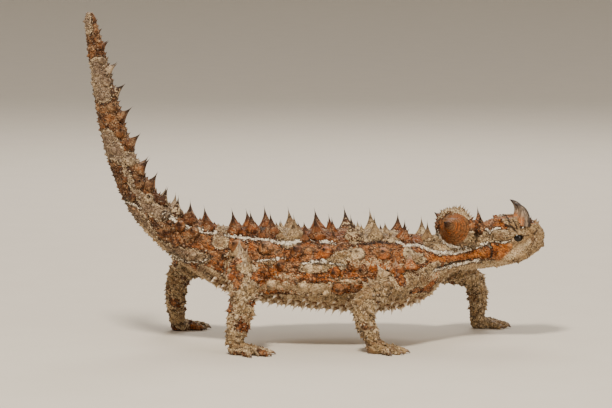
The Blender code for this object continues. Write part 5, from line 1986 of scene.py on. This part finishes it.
def set_camera():
    """A long lens a little above the animal's side and a little behind it."""
    turn, rise = math.radians(-VIEW_TURN), math.radians(VIEW_RISE)
    middle = Vector(((VIEW_MIDDLE[0] - ORIGIN_ACROSS) * STEP, 0.0, (ORIGIN_DOWN - VIEW_MIDDLE[1]) * STEP))
    target = middle + SHIFT
    back = Vector((math.sin(turn) * math.cos(rise), -math.cos(turn) * math.cos(rise), math.sin(rise)))
    camera = bpy.data.cameras.new("camera")
    camera.lens = CAMERA_LENS
    camera.sensor_width = 36.0
    camera.clip_start = 0.01
    camera.clip_end = 20.0
    obj = new_object("camera", camera)
    obj.location = target + back * CAMERA_DISTANCE
    obj.rotation_euler = (-back).to_track_quat("-Z", "Y").to_euler()
    bpy.context.scene.camera = obj


BODY_NODES = ("head", "neck", "nape_knob", "torso", "tail_root", "tail_middle", "tail_tip")
LIMB_NODES = ("upper_arm", "forearm", "hand", "thigh", "shin", "foot")
FLESH_NODES = [*BODY_NODES, *(f"{node}_{word}" for node in LIMB_NODES for word in ("right", "left"))]
FOOT_NAMES = {
    "arm_right": "hand_right",
    "arm_left": "hand_left",
    "leg_right": "foot_right",
    "leg_left": "foot_left",
}


def ready(obj, slot, *nodes):
    """Moves a finished piece to the model's place, hangs it on the root and hides the model's parts that it
    stands in for.
    """
    obj.data.transform(Matrix.Translation(SHIFT))
    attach(obj, "root")
    if nodes:
        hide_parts(*nodes)


# Finishes: how dark and how pale the tip gets, where along it that starts, and how much dark rust at the
# root paints the shade under the belly
FINISHES = {
    "thorns": (0.92, 0.0, 0.24, 0.0),
    "pale_thorns": (0.35, 0.30, 0.28, 0.0),
    "low_scales": (0.15, 0.10, 0.28, 0.0),
    "pointed_scales": (0.20, 0.15, 0.28, 0.0),
    "head_thorns": (0.92, 0.0, 0.34, 0.0),
    "fringe_thorns": (0.0, 0.95, 0.15, 0.85),
}
THORN_FORM = {"Sides": 9, "Rings": 6, "Hollow": 1.15, "Bend": 0.20}
# Scattered scales: where they stand, their spacing, size and height, sides and seed
SCALE_FORMS = {
    "low_scales": ("low_cover", 0.00066, 0.00036, 0.00024, 5, 5),
    "pointed_scales": ("pointed_cover", 0.00220, 0.00062, 0.00075, 6, 9),
}


def thorn_groups(draw):
    """The thorns of each piece, with the piece's finish and slot."""
    return {
        "back_and_flank_thorns": (trunk_thorns(draw), "thorns", "rust_hide"),
        "belly_fringe": (fringe_thorns(draw), "fringe_thorns", "grey_hide"),
        "head_and_neck_thorns": (
            neck_thorns(draw) + head_thorns(draw) + knob_thorns(draw),
            "head_thorns",
            "grey_hide",
        ),
        "tail_thorns": (tail_thorns(draw), "thorns", "grey_hide"),
        "limb_thorns": (limb_thorns(draw), "pale_thorns", "grey_hide"),
    }


def build_thorns(skin, finishes):
    surface = BVHTree.FromObject(skin, bpy.context.evaluated_depsgraph_get())
    tree = thorn_tree()
    for name, (thorns, finish_name, slot) in thorn_groups(random.Random(SEED)).items():
        points = thorn_points(name + "_roots", thorns, surface)
        made = grown(points, tree, name, {**THORN_FORM, "Material": finishes[finish_name]})
        bpy.data.objects.remove(points)
        ready(made, slot)


def build_scales(skin, finishes):
    tree = scatter_tree()
    labels = ("Cover", "Spacing", "Size", "Height", "Sides", "Seed")
    for name, form in SCALE_FORMS.items():
        made = grown(skin, tree, name, {**dict(zip(labels, form)), "Material": finishes[name]})
        ready(made, "grey_hide")


def build_hide():
    trees = (marking_group(), scale_group())
    skin = build_skin()
    skin.data.materials.append(skin_material(*trees))
    finishes = {name: scale_material(name, *trees, *looks) for name, looks in FINISHES.items()}
    build_thorns(skin, finishes)
    build_scales(skin, finishes)
    ready(skin, "rust_hide", *FLESH_NODES)


def build_parts():
    horn_finish, eye_finish, claw_finish = horn_material(), eye_material(), claw_material()
    for side, word in ((-1, "right"), (1, "left")):
        ready(eye_object(f"{word}_eyeball", side, eye_finish), "eye", f"eye_{word}")
        ready(horn_object(f"{word}_brow_horn", side, horn_finish), "horn", f"horn_{word}")
    for key, name in FOOT_NAMES.items():
        ready(claws_of(key, f"claws_of_{name}", claw_finish), "horn")


build_hide()
build_parts()
floor_object()
light_scene()
set_camera()
